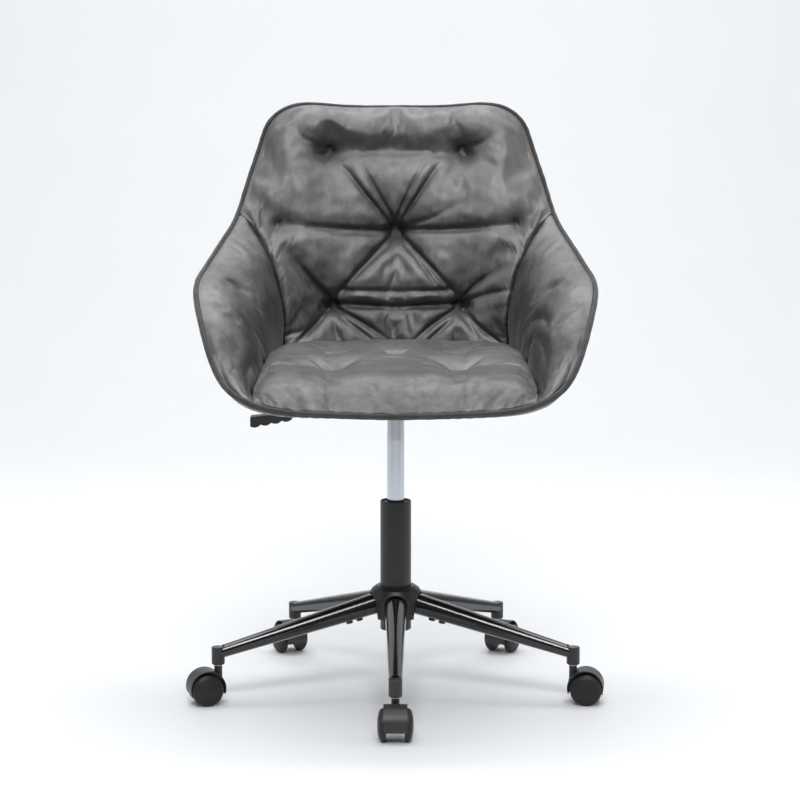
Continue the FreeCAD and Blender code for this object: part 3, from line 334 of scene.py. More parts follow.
def puffUp(piece, held, limit, pressure, looseness):
    # cloth under pressure from inside, held where held is 1, each point moved by up to limit
    start = coordinates(piece.data)
    group = piece.vertex_groups.new(name="held")
    for weight in np.unique(np.round(held, 2)):
        if weight > 0:
            group.add([int(i) for i in np.nonzero(np.round(held, 2) == weight)[0]], float(weight),
                "REPLACE")
    cloth = piece.modifiers.new("stuffing", "CLOTH")
    settings = cloth.settings
    settings.quality = 6
    settings.mass = stuffing["mass"]
    settings.tension_stiffness = settings.compression_stiffness = stuffing["stretch"]
    settings.shear_stiffness = stuffing["shear"]
    settings.bending_stiffness = stuffing["bending"]
    settings.tension_damping = settings.compression_damping = settings.shear_damping = stuffing["damping"]
    settings.air_damping = stuffing["air"]
    settings.use_pressure = True
    settings.uniform_pressure_force = pressure
    settings.shrink_min = -looseness
    settings.vertex_group_mass = "held"
    settings.effector_weights.gravity = 0
    cloth.collision_settings.use_collision = False
    cloth.point_cache.frame_start, cloth.point_cache.frame_end = 1, stuffing["frames"]
    scene = bpy.context.scene
    for frameNumber in range(1, stuffing["frames"] + 1):
        scene.frame_set(frameNumber)
    graph = bpy.context.evaluated_depsgraph_get()
    end = coordinates(piece.evaluated_get(graph).data)
    piece.modifiers.clear()
    piece.vertex_groups.clear()
    scene.frame_set(1)
    move = end - start
    length = np.linalg.norm(move, axis=1)
    kept = limit * np.tanh(length / limit)
    setCoordinates(piece, start + move * (kept / np.maximum(length, 1e-9))[:, None])
    print("stuffed", piece.name, "largest move", round(float(kept.max()) * 1000, 1), "mm")


def nearSegment(points, start, end, bow=0.0):
    # distance to a segment in the plane and the share of its length, with the segment bowed sideways
    start, end = np.array(start, float), np.array(end, float)
    run = end - start
    length = np.hypot(*run)
    along = ((points - start) @ run) / length ** 2
    across = ((points[:, 0] - start[0]) * -run[1] + (points[:, 1] - start[1]) * run[0]) / length
    across = across - bow * 4 * np.clip(along, 0, 1) * (1 - np.clip(along, 0, 1))
    beyond = np.maximum(0, np.maximum(-along, along - 1)) * length
    return across, np.clip(along, 0, 1), beyond


def foldHeight(points, folds):
    # sewn-in folds: each is (x0, z0, x1, z1, depth, width, bow, lip), all in metres
    height = np.zeros(len(points))
    for x0, z0, x1, z1, depth, width, bow, lip in folds:
        across, along, beyond = nearSegment(points, (x0, z0), (x1, z1), bow)
        fade = np.exp(-(beyond / (1.5 * width)) ** 2) * (0.30 + 0.70 * smooth((1 - along) * 2.2))
        valley = np.exp(-np.sqrt((across / width) ** 2 + 0.09) * 1.25 + 0.375)
        ridge = np.exp(-((np.abs(across) - 2.4 * width) / (1.5 * width)) ** 2)
        height += fade * (lip * ridge - depth * valley)
    return height


def dimpleHeight(points, dimples):
    # thread-pulled dimples: each is (x, z, depth, width)
    height = np.zeros(len(points))
    for x, z, depth, width in dimples:
        away = np.hypot(points[:, 0] - x, points[:, 1] - z)
        height -= depth * np.exp(-np.sqrt((away / width) ** 2 + 0.04) + 0.2)
    return height


def ripples(points, scale, seed, layers=3):
    # smooth unevenness between about -1 and 1
    random = np.random.default_rng(seed)
    height = np.zeros(len(points))
    for layer in range(layers):
        for wave in range(5):
            direction = random.normal(size=3)
            direction /= np.linalg.norm(direction)
            pitch = 2 * math.pi * (1.7 ** layer) / scale
            height += np.sin(points @ direction * pitch + random.uniform(0,
                6.28)) / (5 ** 0.5 * 1.6 ** layer)
    return height / 1.6


def nodeGroup(name, inputs, outputs):
    group = bpy.data.node_groups.new(name, "ShaderNodeTree")
    for label, kind, value in inputs:
        socket = group.interface.new_socket(name=label, in_out="INPUT", socket_type=kind)
        socket.default_value = value
    for label, kind in outputs:
        group.interface.new_socket(name=label, in_out="OUTPUT", socket_type=kind)
    return group, group.nodes.new("NodeGroupInput"), group.nodes.new("NodeGroupOutput")


def addNode(tree, kind, links=None, **values):
    node = tree.nodes.new(kind)
    for key, value in values.items():
        if key.startswith("in_"):
            name = key[3:].replace("_", " ")
            node.inputs[int(name) if name.isdigit() else name].default_value = value
        else:
            setattr(node, key, value)
    for name, source in (links or {}).items():
        tree.links.new(source, node.inputs[name])
    return node


def mixColor(tree, factor, first, second, mode="MIX"):
    node = tree.nodes.new("ShaderNodeMix")
    node.data_type, node.blend_type = "RGBA", mode
    for socket, value in ((node.inputs[0], factor), (node.inputs[6], first), (node.inputs[7], second)):
        if hasattr(value, "is_output"):
            tree.links.new(value, socket)
        else:
            socket.default_value = value
    return node.outputs[2]


def mapRange(tree, value, low, high, newLow, newHigh):
    node = tree.nodes.new("ShaderNodeMapRange")
    tree.links.new(value, node.inputs["Value"])
    for socket, number in zip(node.inputs[1:5], (low, high, newLow, newHigh)):
        if hasattr(number, "is_output"):
            tree.links.new(number, socket)
        else:
            socket.default_value = number
    return node.outputs[0]


def pileAndLightGroup():
    # brushed velvet: broad patches where the pile lies one way or the other, and its fine grain, with
    # painted light and painted shade from each cushion's attribute lifting or lowering the colour
    group, start, end = nodeGroup("pileAndPaintedLight", [
        ("Dark", "NodeSocketColor", (0.05, 0.05, 0.05, 1)),
            ("Light", "NodeSocketColor", (0.1, 0.1, 0.1, 1)),
        ("Patch Scale", "NodeSocketFloat", 9.0), ("Smooth", "NodeSocketFloat", 0.4),
            ("Rough", "NodeSocketFloat", 0.7),
    ], [("Color", "NodeSocketColor"), ("Roughness", "NodeSocketFloat"), ("Height", "NodeSocketFloat")])
    where = addNode(group, "ShaderNodeTexCoord").outputs["Object"]
    patches = addNode(group, "ShaderNodeTexNoise", {"Vector": where, "Scale": start.outputs["Patch Scale"]},
                      in_Detail=5.0, in_Roughness=0.62, in_Distortion=0.6)
    stretched = addNode(group, "ShaderNodeMapping", {"Vector": where}, in_Scale=(1.0, 1.0, 0.45))
    strokes = addNode(group, "ShaderNodeTexNoise", {"Vector": stretched.outputs[0]}, in_Scale=48.0,
                      in_Detail=4.0, in_Roughness=0.7, in_Distortion=1.0)
    fibres = addNode(group, "ShaderNodeTexNoise", {"Vector": where}, in_Scale=1400.0, in_Detail=2.0)
    broad = mapRange(group, patches.outputs["Fac"], 0.36, 0.66, 0.0, 1.0)
    fine = mapRange(group, strokes.outputs["Fac"], 0.35, 0.68, 0.0, 1.0)
    napAndPaintedLight = addNode(group, "ShaderNodeMath", {0: broad}, operation="MULTIPLY", in_1=0.62)
    detail = addNode(group, "ShaderNodeMath", {0: fine}, operation="MULTIPLY", in_1=0.38)
    both = addNode(group, "ShaderNodeMath", {0: napAndPaintedLight.outputs[0], 1: detail.outputs[0]}, operation="ADD")
    grain = mapRange(group, fibres.outputs["Fac"], 0.3, 0.7, 0.88, 1.12)
    # painted light and painted shade, set per point on each cushion, mixed into the colour below
    lightFacing = addNode(group, "ShaderNodeAttribute", attribute_name="napAndPaintedLight")
    lifted = addNode(group, "ShaderNodeMath", {0: lightFacing.outputs["Fac"], 2: both.outputs[0]},
        operation="MULTIPLY_ADD",
                     in_1=0.60)
    base = mixColor(group, lifted.outputs[0], start.outputs["Dark"], start.outputs["Light"])
    grained = mixColor(group, 1.0, base, grain, "MULTIPLY")
    group.links.new(grained, end.inputs["Color"])
    group.links.new(mapRange(group, both.outputs[0], 0.0, 1.0, start.outputs["Rough"],
        start.outputs["Smooth"]),
                    end.inputs["Roughness"])
    depth = addNode(group, "ShaderNodeMath", {0: fibres.outputs["Fac"], 1: strokes.outputs["Fac"]},
        operation="ADD")
    group.links.new(depth.outputs[0], end.inputs["Height"])
    return group


def finishGroup():
    # painted, plated or moulded surfaces: slow unevenness, fine grain, and handling marks in the gloss
    group, start, end = nodeGroup("surfaceFinish", [
        ("Color", "NodeSocketColor", (0.02, 0.02, 0.02, 1)),
            ("Worn Color", "NodeSocketColor", (0.04, 0.04, 0.04, 1)),
        ("Gloss Low", "NodeSocketFloat", 0.2), ("Gloss High", "NodeSocketFloat", 0.35),
        ("Grain Scale", "NodeSocketFloat", 900.0), ("Mark Scale", "NodeSocketFloat", 30.0),
    ], [("Color", "NodeSocketColor"), ("Roughness", "NodeSocketFloat"), ("Height", "NodeSocketFloat")])
    where = addNode(group, "ShaderNodeTexCoord").outputs["Object"]
    marks = addNode(group, "ShaderNodeTexNoise", {"Vector": where, "Scale": start.outputs["Mark Scale"]},
                    in_Detail=6.0, in_Roughness=0.65, in_Distortion=0.4)
    grain = addNode(group, "ShaderNodeTexNoise", {"Vector": where, "Scale": start.outputs["Grain Scale"]},
        in_Detail=2.0)
    edge = mapRange(group, addNode(group, "ShaderNodeNewGeometry").outputs["Pointiness"], 0.52, 0.60, 0.0,
        1.0)
    worn = addNode(group, "ShaderNodeMath", {0: edge, 1: marks.outputs["Fac"]}, operation="MULTIPLY")
    group.links.new(mixColor(group, worn.outputs[0], start.outputs["Color"], start.outputs["Worn Color"]),
                    end.inputs["Color"])
    group.links.new(mapRange(group, marks.outputs["Fac"], 0.3, 0.7, start.outputs["Gloss Low"],
                             start.outputs["Gloss High"]), end.inputs["Roughness"])
    group.links.new(grain.outputs["Fac"], end.inputs["Height"])
    return group


pileAndPaintedLight = pileAndLightGroup()
surfaceFinish = finishGroup()


def material(name, group, groupValues, shader, bump):
    made = bpy.data.materials.new(name)
    made.use_nodes = True
    tree = made.node_tree
    principled = tree.nodes["Principled BSDF"]
    for key, value in shader.items():
        principled.inputs[key].default_value = value
    pattern = tree.nodes.new("ShaderNodeGroup")
    pattern.node_tree = group
    for key, value in groupValues.items():
        pattern.inputs[key].default_value = value
    tree.links.new(pattern.outputs["Color"], principled.inputs["Base Color"])
    tree.links.new(pattern.outputs["Roughness"], principled.inputs["Roughness"])
    relief = addNode(tree, "ShaderNodeBump", {"Height": pattern.outputs["Height"]}, in_Strength=bump[0],
                     in_Distance=bump[1])
    tree.links.new(relief.outputs[0], principled.inputs["Normal"])
    return made


def grey(value, tint=(1, 1, 1)):
    return (value * tint[0], value * tint[1], value * tint[2], 1)


warm = (1.0, 0.975, 0.985)
velvetLook = {
    "dark": 0.016, "light": 0.120, "sheen": 0.13, "sheenRoughness": 0.30,
}
velvet = material("greyVelvet", pileAndPaintedLight, {
    "Dark": grey(velvetLook["dark"], warm), "Light": grey(velvetLook["light"], warm),
    "Patch Scale": 11.0, "Smooth": 0.36, "Rough": 0.56,
}, {
    "Sheen Weight": velvetLook["sheen"], "Sheen Roughness": velvetLook["sheenRoughness"],
    "Sheen Tint": (0.90, 0.87, 0.88, 1), "Specular IOR Level": 0.85,
}, (0.25, 0.0006))
pipingVelvet = material("pipingVelvet", pileAndPaintedLight, {
    "Dark": grey(0.030, warm), "Light": grey(0.062, warm), "Patch Scale": 26.0, "Smooth": 0.5,
        "Rough": 0.75,
}, {
    "Sheen Weight": 0.4, "Sheen Roughness": 0.4, "Sheen Tint": (0.8, 0.8, 0.82, 1),
        "Specular IOR Level": 0.35,
}, (0.3, 0.0006))
dustCloth = material("dustCloth", pileAndPaintedLight, {
    "Dark": grey(0.008), "Light": grey(0.022), "Patch Scale": 60.0, "Smooth": 0.8, "Rough": 0.95,
}, {"Specular IOR Level": 0.2}, (0.5, 0.0006))


def finish(name, color, worn, gloss, scales, shader, bump):
    return material(name, surfaceFinish, {
        "Color": color, "Worn Color": worn, "Gloss Low": gloss[0], "Gloss High": gloss[1],
        "Grain Scale": scales[0], "Mark Scale": scales[1]}, shader, bump)


chrome = finish("satinChrome", (0.52, 0.55, 0.59, 1), (0.7, 0.72, 0.75, 1), (0.10, 0.24), (260.0, 22.0),
                {"Metallic": 1.0}, (0.02, 0.0004))
glossPaint = finish("glossBlackPaint", grey(0.0035, (1, 1, 1.1)), grey(0.02), (0.10, 0.20), (420.0, 18.0),
                    {"Coat Weight": 0.6, "Coat Roughness": 0.06, "Specular IOR Level": 0.5},
                        (0.035, 0.0004))
satinPaint = finish("satinBlackPaint", grey(0.0075, (1, 1, 1.05)), grey(0.03), (0.34, 0.46), (900.0, 24.0),
                    {"Specular IOR Level": 0.45}, (0.10, 0.0003))
mouldedPlastic = finish("mouldedPlastic", grey(0.009, (1, 1, 1.06)), grey(0.035), (0.30, 0.42),
    (1500.0, 30.0),
                        {"Specular IOR Level": 0.5}, (0.14, 0.0003))
hoodPlastic = finish("hoodPlastic", grey(0.010, (1, 1, 1.08)), grey(0.04), (0.36, 0.50), (1800.0, 34.0),
                     {"Specular IOR Level": 0.5}, (0.2, 0.0003))
wheelPlastic = finish("wheelPlastic", grey(0.0075, (1, 1, 1.08)), grey(0.03), (0.42, 0.60), (1200.0, 60.0),
                      {"Specular IOR Level": 0.45}, (0.2, 0.0003))
blackSteel = finish("blackSteel", grey(0.02), grey(0.10), (0.35, 0.5), (700.0, 40.0), {"Metallic": 0.6},
    (0.1, 0.0003))
plated = finish("zincPlated", (0.45, 0.46, 0.47, 1), (0.6, 0.6, 0.62, 1), (0.25, 0.42), (500.0, 45.0),
                {"Metallic": 1.0}, (0.06, 0.0004))
acetal = finish("mouldedAcetal", grey(0.03), grey(0.05), (0.4, 0.55), (800.0, 30.0), {}, (0.1, 0.0003))
rubber = finish("rubber", grey(0.012), grey(0.02), (0.6, 0.8), (600.0, 30.0), {"Specular IOR Level": 0.3},
    (0.2, 0.0004))


def plywoodMaterial():
    made = bpy.data.materials.new("plywood")
    made.use_nodes = True
    tree = made.node_tree
    principled = tree.nodes["Principled BSDF"]
    principled.inputs["Specular IOR Level"].default_value = 0.3
    where = addNode(tree, "ShaderNodeTexCoord").outputs["Object"]
    stretched = addNode(tree, "ShaderNodeMapping", {"Vector": where}, in_Scale=(1.0, 9.0, 60.0))
    bands = addNode(tree, "ShaderNodeTexNoise", {"Vector": stretched.outputs[0]}, in_Scale=14.0,
        in_Detail=6.0,
                    in_Distortion=0.8)
    ramp = tree.nodes.new("ShaderNodeValToRGB")
    ramp.color_ramp.elements[0].color = (0.42, 0.27, 0.14, 1)
    ramp.color_ramp.elements[1].color = (0.68, 0.50, 0.30, 1)
    tree.links.new(bands.outputs["Fac"], ramp.inputs["Fac"])
    tree.links.new(ramp.outputs["Color"], principled.inputs["Base Color"])
    tree.links.new(mapRange(tree, bands.outputs["Fac"], 0.3, 0.7, 0.55, 0.8),
        principled.inputs["Roughness"])
    relief = addNode(tree, "ShaderNodeBump", {"Height": bands.outputs["Fac"]}, in_Strength=0.2,
        in_Distance=0.0005)
    tree.links.new(relief.outputs[0], principled.inputs["Normal"])
    return made


plywood = plywoodMaterial()
print("materials ready")

finishOf = {
    "hub_cover": satinPaint, "hub_core": satinPaint, "column_tube": satinPaint,
        "stem_sleeves": mouldedPlastic,
    "stem_sockets": acetal, "column_bush": acetal, "leg_bolts": blackSteel, "thrust_bearing": plated,
    "piston_rod": plated, "piston": plated, "bump_stop": rubber, "rod_clip": blackSteel,
    "bearing_race_upper": plated, "gas_cylinder": chrome, "mechanism_plate": blackSteel,
    "mechanism_bolts": blackSteel, "board_nuts": plated, "lever_pivot_pin": plated, "seat_board": plywood,
    "shell_frame": plywood, "dust_cover": dustCloth, "lever_rod": blackSteel, "lever_grip": mouldedPlastic,
    "valve_pin": plated,
}
for node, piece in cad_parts.items():
    chosen = finishOf.get(node)
    if node.startswith("leg_") and node != "leg_bolts":
        chosen = glossPaint
    elif node.startswith("caster_"):
        chosen = plated
        if node.endswith("hood"):
            chosen = hoodPlastic
        elif "wheel" in node:
            chosen = wheelPlastic
    if chosen:
        piece.data.materials.clear()
        piece.data.materials.append(chosen)

back = {
    "seamAngle": 37.0, "columns": 112, "rows": 92, "behind": 0.0125, "pressure": 3.2, "limit": 0.012,
    "looseness": 0.03, "seamDepth": 0.006,
}
# thread-pulled dimples of the back: x, z, depth, width
backTufts = [(0.000, .734, .030, .021), (-.111, .868, .022, .017), (.111, .868, .022, .017),
             (-.196, .748, .016, .013), (.201, .748, .015, .013), (-.107, .614, .028, .018),
             (.107, .614, .028, .018)]
# folds of the back: x0, z0, x1, z1, depth, width, bow, lip; each starts at its deep end
backFolds = [
    (-.006, .742, -.080, .833, .0075, .0048, .002, .0022),
        (-.002, .748, -.054, .838, .0050, .0038, .000, .0020),
    (.006, .744, .064, .835, .0065, .0046, .000, .0022), (.001, .750, .044, .842, .0040, .0036, .002,
        .0020),
    (-.004, .734, -.176, .746, .0080, .0060, .003, .0024),
        (-.030, .728, -.150, .731, .0030, .0045, .000, .0012),
    (.006, .736, .192, .747, .0080, .0060, -.004, .0024),
        (.012, .742, .092, .772, .0035, .0050, -.004, .0014),
    (-.003, .728, -.102, .622, .0090, .0052, -.002, .0024),
        (-.010, .712, -.062, .664, .0035, .0036, .000, .0014),
    (.006, .727, .103, .624, .0080, .0050, .002, .0024), (.014, .711, .076, .634, .0040, .0036, .002,
        .0016),
    (-.107, .614, .000, .609, .0150, .0046, .000, .0030),
        (.107, .614, .000, .609, .0150, .0046, .000, .0030),
    (-.088, .637, .000, .634, .0055, .0046, .000, .0020),
        (.088, .637, .000, .634, .0055, .0046, .000, .0020),
    (-.110, .608, -.162, .555, .0065, .0042, .002, .0020),
    (-.100, .606, -.008, .552, .0075, .0044, .003, .0020),
        (-.086, .590, -.036, .553, .0040, .0034, .000, .0014),
    (.098, .604, .028, .552, .0075, .0044, -.003, .0020),
        (.090, .586, .052, .553, .0035, .0032, .000, .0014),
    (.112, .604, .168, .556, .0060, .0046, -.003, .0018),
        (.108, .596, .133, .566, .0050, .0034, .002, .0016),
    (-.112, .628, -.172, .696, .0065, .0052, .004, .0022),
        (-.118, .626, -.158, .666, .0045, .0038, .002, .0016),
    (.112, .626, .162, .667, .0070, .0040, .002, .0022), (.116, .618, .188, .641, .0060, .0042, .002,
        .0020),
    (-.112, .870, -.162, .893, .0050, .0046, .002, .0016),
        (-.115, .867, -.156, .877, .0035, .0034, .000, .0012),
    (.112, .870, .156, .888, .0040, .0050, -.002, .0014),
]


def sectionColumn(angle, rows, behind, backRows=8):
    # one closed section of a pad: its face from foot to rim, then down the shell's inner side
    turn = math.radians(angle)
    face = facePoints(angle, rows)
    depth = np.clip(pipingInset + 0.2 * (face[-1, 1] - face[:, 1]), 0, coverDepth)
    face[:, 0] = np.minimum(face[:, 0], insideAt(turn, depth, face[:, 1]))
    top = face[-1, 1] - 0.004
    foot = face[0, 1]
    heights = np.linspace(top, foot + 0.004, backRows)
    reach = insideAt(turn, behind, heights)
    reach = np.minimum(np.maximum(reach, face[0, 0] + 0.012), insideAt(turn, 0.7 * coverDepth, heights))
    reach[0] = max(min(reach[0], face[-1, 0] - 0.001), face[-1, 0] - 0.012)
    rear = np.stack([reach, heights], axis=-1)
    return atTurn(turn, np.concatenate([face[:, 0], rear[:, 0]]), np.concatenate([face[:, 1], rear[:, 1]]))


def paddedSection(name, angles, rows, behind):
    columns = [sectionColumn(angle, rows, behind) for angle in angles]
    perColumn = len(columns[0])
    points = np.concatenate(columns)
    faces = loopFaces(len(columns), perColumn)
    for base in (0, (len(columns) - 1) * perColumn):
        faces += zipFaces(list(range(base, base + rows)),
            list(range(base + perColumn - 1, base + rows - 1, -1)))
    piece = meshObject(name, points, faces, velvet)
    column = np.repeat(np.arange(len(columns)), perColumn)
    row = np.tile(np.arange(perColumn), len(columns))
    return piece, column, row


def holdEdges(column, row, columns, rows, margin=1):
    held = np.zeros(len(column))
    held[(column < margin) | (column >= columns - margin)
         | (row >= rows - 3 * margin) | (row < margin)] = 1.0
    return held


def backHeight(points, sharp):
    flat = points[:, [0, 2]]
    height = dimpleHeight(flat, backTufts) if not sharp else dimpleHeight(
        flat, [(x, z, 0.30 * depth, 0.24 * width) for x, z, depth, width in backTufts])
    share = 0.45 if sharp else 0.9
    widen = 0.62 if sharp else 1.5
    height += foldHeight(flat, [(*fold[:4], share * fold[4], widen * fold[5], fold[6], share * fold[7])
                                for fold in backFolds])
    if not sharp:
        across, along, beyond = nearSegment(flat, (-.111, .868), (.111, .868))
        height -= 0.011 * np.exp(-(across / 0.017) ** 2 - (beyond / 0.03) ** 2)
        height += 0.006 * np.exp(-((across - 0.040) / 0.020) ** 2 - (beyond / 0.05) ** 2)
    return height


def makeBack():
    seam = back["seamAngle"]
    angles = np.linspace(180 - seam, seam, back["columns"])
    piece, column, row = paddedSection("backCushion", angles, back["rows"], back["behind"])
    outward(piece)
    points = coordinates(piece.data)
    inside = (row < back["rows"]).astype(float)
    edge = np.minimum(column, back["columns"] - 1 - column) * 0.0042
    rimNear = (back["rows"] - 1 - row) * 0.0050
    footNear = row * 0.0050
    calm = smooth(edge / 0.020) * smooth(rimNear / 0.016) * smooth(footNear / 0.03) * inside
    pushAlong(piece, backHeight(points, False) * calm
              - back["seamDepth"] * np.exp(-(edge / 0.005) ** 2) * smooth(rimNear / 0.030) * inside)
    held = holdEdges(column, row, back["columns"], back["rows"])
    for x, z, depth, width in backTufts:
        held = np.maximum(held, (np.hypot(points[:, 0] - x, points[:, 2] - z) < 0.0035) * inside)
    across, along, beyond = nearSegment(points[:, [0, 2]], (-.107, .614), (.107, .614))
    held = np.maximum(held, 0.5 * ((np.abs(across) < 0.004) & (beyond < 0.001)) * inside)
    puffUp(piece, held, back["limit"], back["pressure"], back["looseness"])
    subdivide(piece)
    points = coordinates(piece.data)
    turn = np.degrees(np.arctan2(points[:, 1] - shell["axisY"], points[:, 0]))
    seamNear = np.minimum(turn - seam, 180 - seam - turn) * 0.0045
    front = faceMask(points, 0.012)
    rimDrop = rimAt(np.radians(turn))[1] - points[:, 2]
    calm = smooth(seamNear / 0.018) * smooth(rimDrop / 0.02 + 0.15) * front
    pushAlong(piece, backHeight(points, True) * calm
              + 0.0007 * ripples(points, 0.060, 5) * calm)
    return piece


def faceMask(points, depth):
    # 1 on the padding's face, 0 behind it near the shell
    turn = np.arctan2(points[:, 1] - shell["axisY"], points[:, 0])
    reach = np.hypot(points[:, 0], points[:, 1] - shell["axisY"])
    gap = wallAt(turn, 0.0, points[:, 2]) - reach
    return smooth((gap - depth) / 0.006)


backCushion = makeBack()
print("back cushion made")

arm = {
    "frontAngle": -48.0, "columns": 92, "rows": 54, "behind": 0.0125, "pressure": 2.4, "limit": 0.007,
    "looseness": 0.006, "tuft": (.240, .002, .664),
}


def makeArm(name, side):
    angles = np.linspace(back["seamAngle"] - 0.06, arm["frontAngle"], arm["columns"])
    piece, column, row = paddedSection(name, angles, arm["rows"], arm["behind"])
    points = coordinates(piece.data)
    points[:, 0] *= side
    setCoordinates(piece, points)
    outward(piece)
    inside = (row < arm["rows"]).astype(float)
    edge = np.minimum(column, arm["columns"] - 1 - column) * 0.0040
    calm = (smooth(edge / 0.02) * smooth((arm["rows"] - 1 - row) * 0.0045 / 0.014)
            * smooth(row * 0.0045 / 0.02) * inside)
    tuft = np.array(arm["tuft"]) * (side, 1, 1)
    away = np.linalg.norm(points - tuft, axis=1)
    dimple = -0.016 * np.exp(-np.sqrt((away / 0.017) ** 2 + 0.04) + 0.2)
    rimNear = (arm["rows"] - 1 - row) * 0.0045
    seam = back["seamDepth"] * np.exp(-(column * 0.004 / 0.005) ** 2) * smooth(rimNear / 0.030) * inside
    pushAlong(piece, dimple * calm - seam)
    held = np.maximum(holdEdges(column, row, arm["columns"], arm["rows"]), (away < 0.0035) * inside)
    puffUp(piece, held, arm["limit"], arm["pressure"], arm["looseness"])
    subdivide(piece)
    points = coordinates(piece.data)
    front = faceMask(points, 0.012)
    away = np.linalg.norm(points - tuft, axis=1)
    dimple = -0.005 * np.exp(-away / 0.005)
    # a soft fold from the dimple towards the seat, and folds beside the seat on the right
    plan = np.stack([points[:, 0] * side, points[:, 1]], axis=-1)
    folds = [(.240, .000, .214, .026, .0030, .0065, .002, .0010)]
    if side > 0:
        folds += [(.216, -.020, .238, -.110, .0035, .0050, .004, .0014),
                  (.214, -.060, .232, -.160, .0028, .0045, .002, .0011)]
    else:
        folds += [(.216, -.130, .230, -.190, .0022, .0050, .002, .0010)]
    pushAlong(piece, (foldHeight(plan, folds) + dimple + 0.0004 * ripples(points, 0.070,
        11 + side)) * front)
    return piece


armLeft = makeArm("armCushionLeft", -1)
armRight = makeArm("armCushionRight", 1)
print("arm cushions made")

seat = {
    "columns": 92, "rows": 104, "foot": 0.4865, "level": 0.5565, "pressure": 3.0, "limit": 0.010,
        "looseness": 0.02,
    "sideRoundRear": 0.020, "sideRoundFront": 0.045, "tuck": 0.0015,
}
seatTufts = [(-.096, .000, .016, .016), (.096, .000, .016, .016), (.000, -.040, .016, .017),
             (-.0975, -.108, .017, .016), (.0975, -.108, .017, .016)]
# the seat's top from the back crease to the front lip: y and z along the middle
seatProfile = [(.151, .541), (.143, .549), (.110, .554), (.050, .5565), (.000, .5565), (-.050, .5515),
    (-.110, .5435),
               (-.150, .5385), (-.190, .534), (-.225, .5275), (-.248, .516), (-.262, .503), (-.2685, .4905)]
creaseLine = [(.188, .120, .549), (.196, .050, .550), (.204, -.020, .550), (.209, -.090, .541),
    (.214, -.150, .529),
              (.2185, -.200, .517), (.2165, -.235, .506), (.2130, -.2475, .4995)]


def makeSeat():
    columns, rows = seat["columns"], seat["rows"]
    profile = throughPoints(seatProfile, rows)
    crease = np.array(creaseLine)[::-1]
    across = np.sin(np.linspace(-1, 1, columns) * math.pi / 2 * 0.93) / math.sin(math.pi / 2 * 0.93)
    lipLow, lipHigh = seatProfile[-1], seatProfile[0]
    points = np.zeros((columns, rows, 3))
    frontHalf = rimLine[:, 1] < -0.15
    order = np.argsort(rimLine[frontHalf, 0])
    frontX, frontY, frontZ = (rimLine[frontHalf, k][order] for k in range(3))
    for i, s in enumerate(across):
        creaseTurn = math.radians(90 - 53 * s)
        inner = np.interp(math.degrees(creaseTurn) if s > 0 else 180 - math.degrees(creaseTurn),
                          faceAngles, faceRows[:, 1, 0])
        rearReach = rimAt(creaseTurn)[0] + inner - seat["tuck"]
        rearX = rearReach * math.cos(creaseTurn)
        rearY = shell["axisY"] + rearReach * math.sin(creaseTurn)
        lipAtX = s * crease[0][0]
        lipY = np.interp(lipAtX, frontX, frontY) + 0.0035
        lipZ = np.interp(lipAtX, frontX, frontZ) + 0.0015
        share = (profile[:, 0] - lipHigh[0]) / (lipLow[0] - lipHigh[0])
        y = rearY + (lipY - rearY) * share
        half = np.interp(y, crease[:, 1], crease[:, 0], left=crease[0][0], right=crease[-1][0])
        x = s * half - seat["tuck"] * s
        blendRear = smooth((y - 0.08) / (rearY - 0.08 + 1e-6))
        x = x * (1 - blendRear) + rearX * blendRear
        creaseZ = np.interp(y, crease[:, 1], crease[:, 2], left=crease[0][2], right=crease[-1][2])
        top = lipZ + (profile[:, 1] - lipLow[1]) * (seat["level"] - lipZ) / (seat["level"] - lipLow[1])
        front = smooth((0.02 - y) / 0.2)
        width = seat["sideRoundRear"] + (seat["sideRoundFront"] - seat["sideRoundRear"]) * front
        away = np.abs(half) - np.abs(x)
        drop = (1 - np.clip(away / width, 0, 1)) ** 2.3
        z = top - np.maximum(top - creaseZ, 0) * drop
        points[i] = np.stack([x, y, z], axis=-1)
    # a skirt below every edge, pulled in a little, and a flat floor close it above the seat board
    flat = points.reshape(-1, 3)
    faces = loopFaces(columns, rows, closedRows=False)
    edge = ([i * rows for i in range(columns)] + [(columns - 1) * rows + j for j in range(1, rows)]
            + [i * rows + rows - 1 for i in range(columns - 2, -1, -1)] + [j for j in range(rows - 2, 0,
                -1)])
    floor = flat.copy()
    floor[:, :2] = np.array([0, -0.06]) + (floor[:, :2] - np.array([0, -0.06])) * 0.93
    floor[:, 2] = seat["foot"]
    between = flat[edge] * (0.5, 0.5, 0.4) + floor[edge] * (0.5, 0.5, 0.6)
    total, count = len(flat), len(edge)
    faces += [(d + total, c + total, b + total, a + total) for a, b, c, d in faces]
    rings = [edge, list(range(2 * total, 2 * total + count)), [index + total for index in edge]]
    for upper, lower in zip(rings, rings[1:]):
        faces += [(upper[k], upper[(k + 1) % count], lower[(k + 1) % count],
            lower[k]) for k in range(count)]
    flat = np.vstack([flat, floor, between])
    piece = meshObject("seatCushion", flat, faces, velvet)
    outward(piece)
    return piece, columns, rows


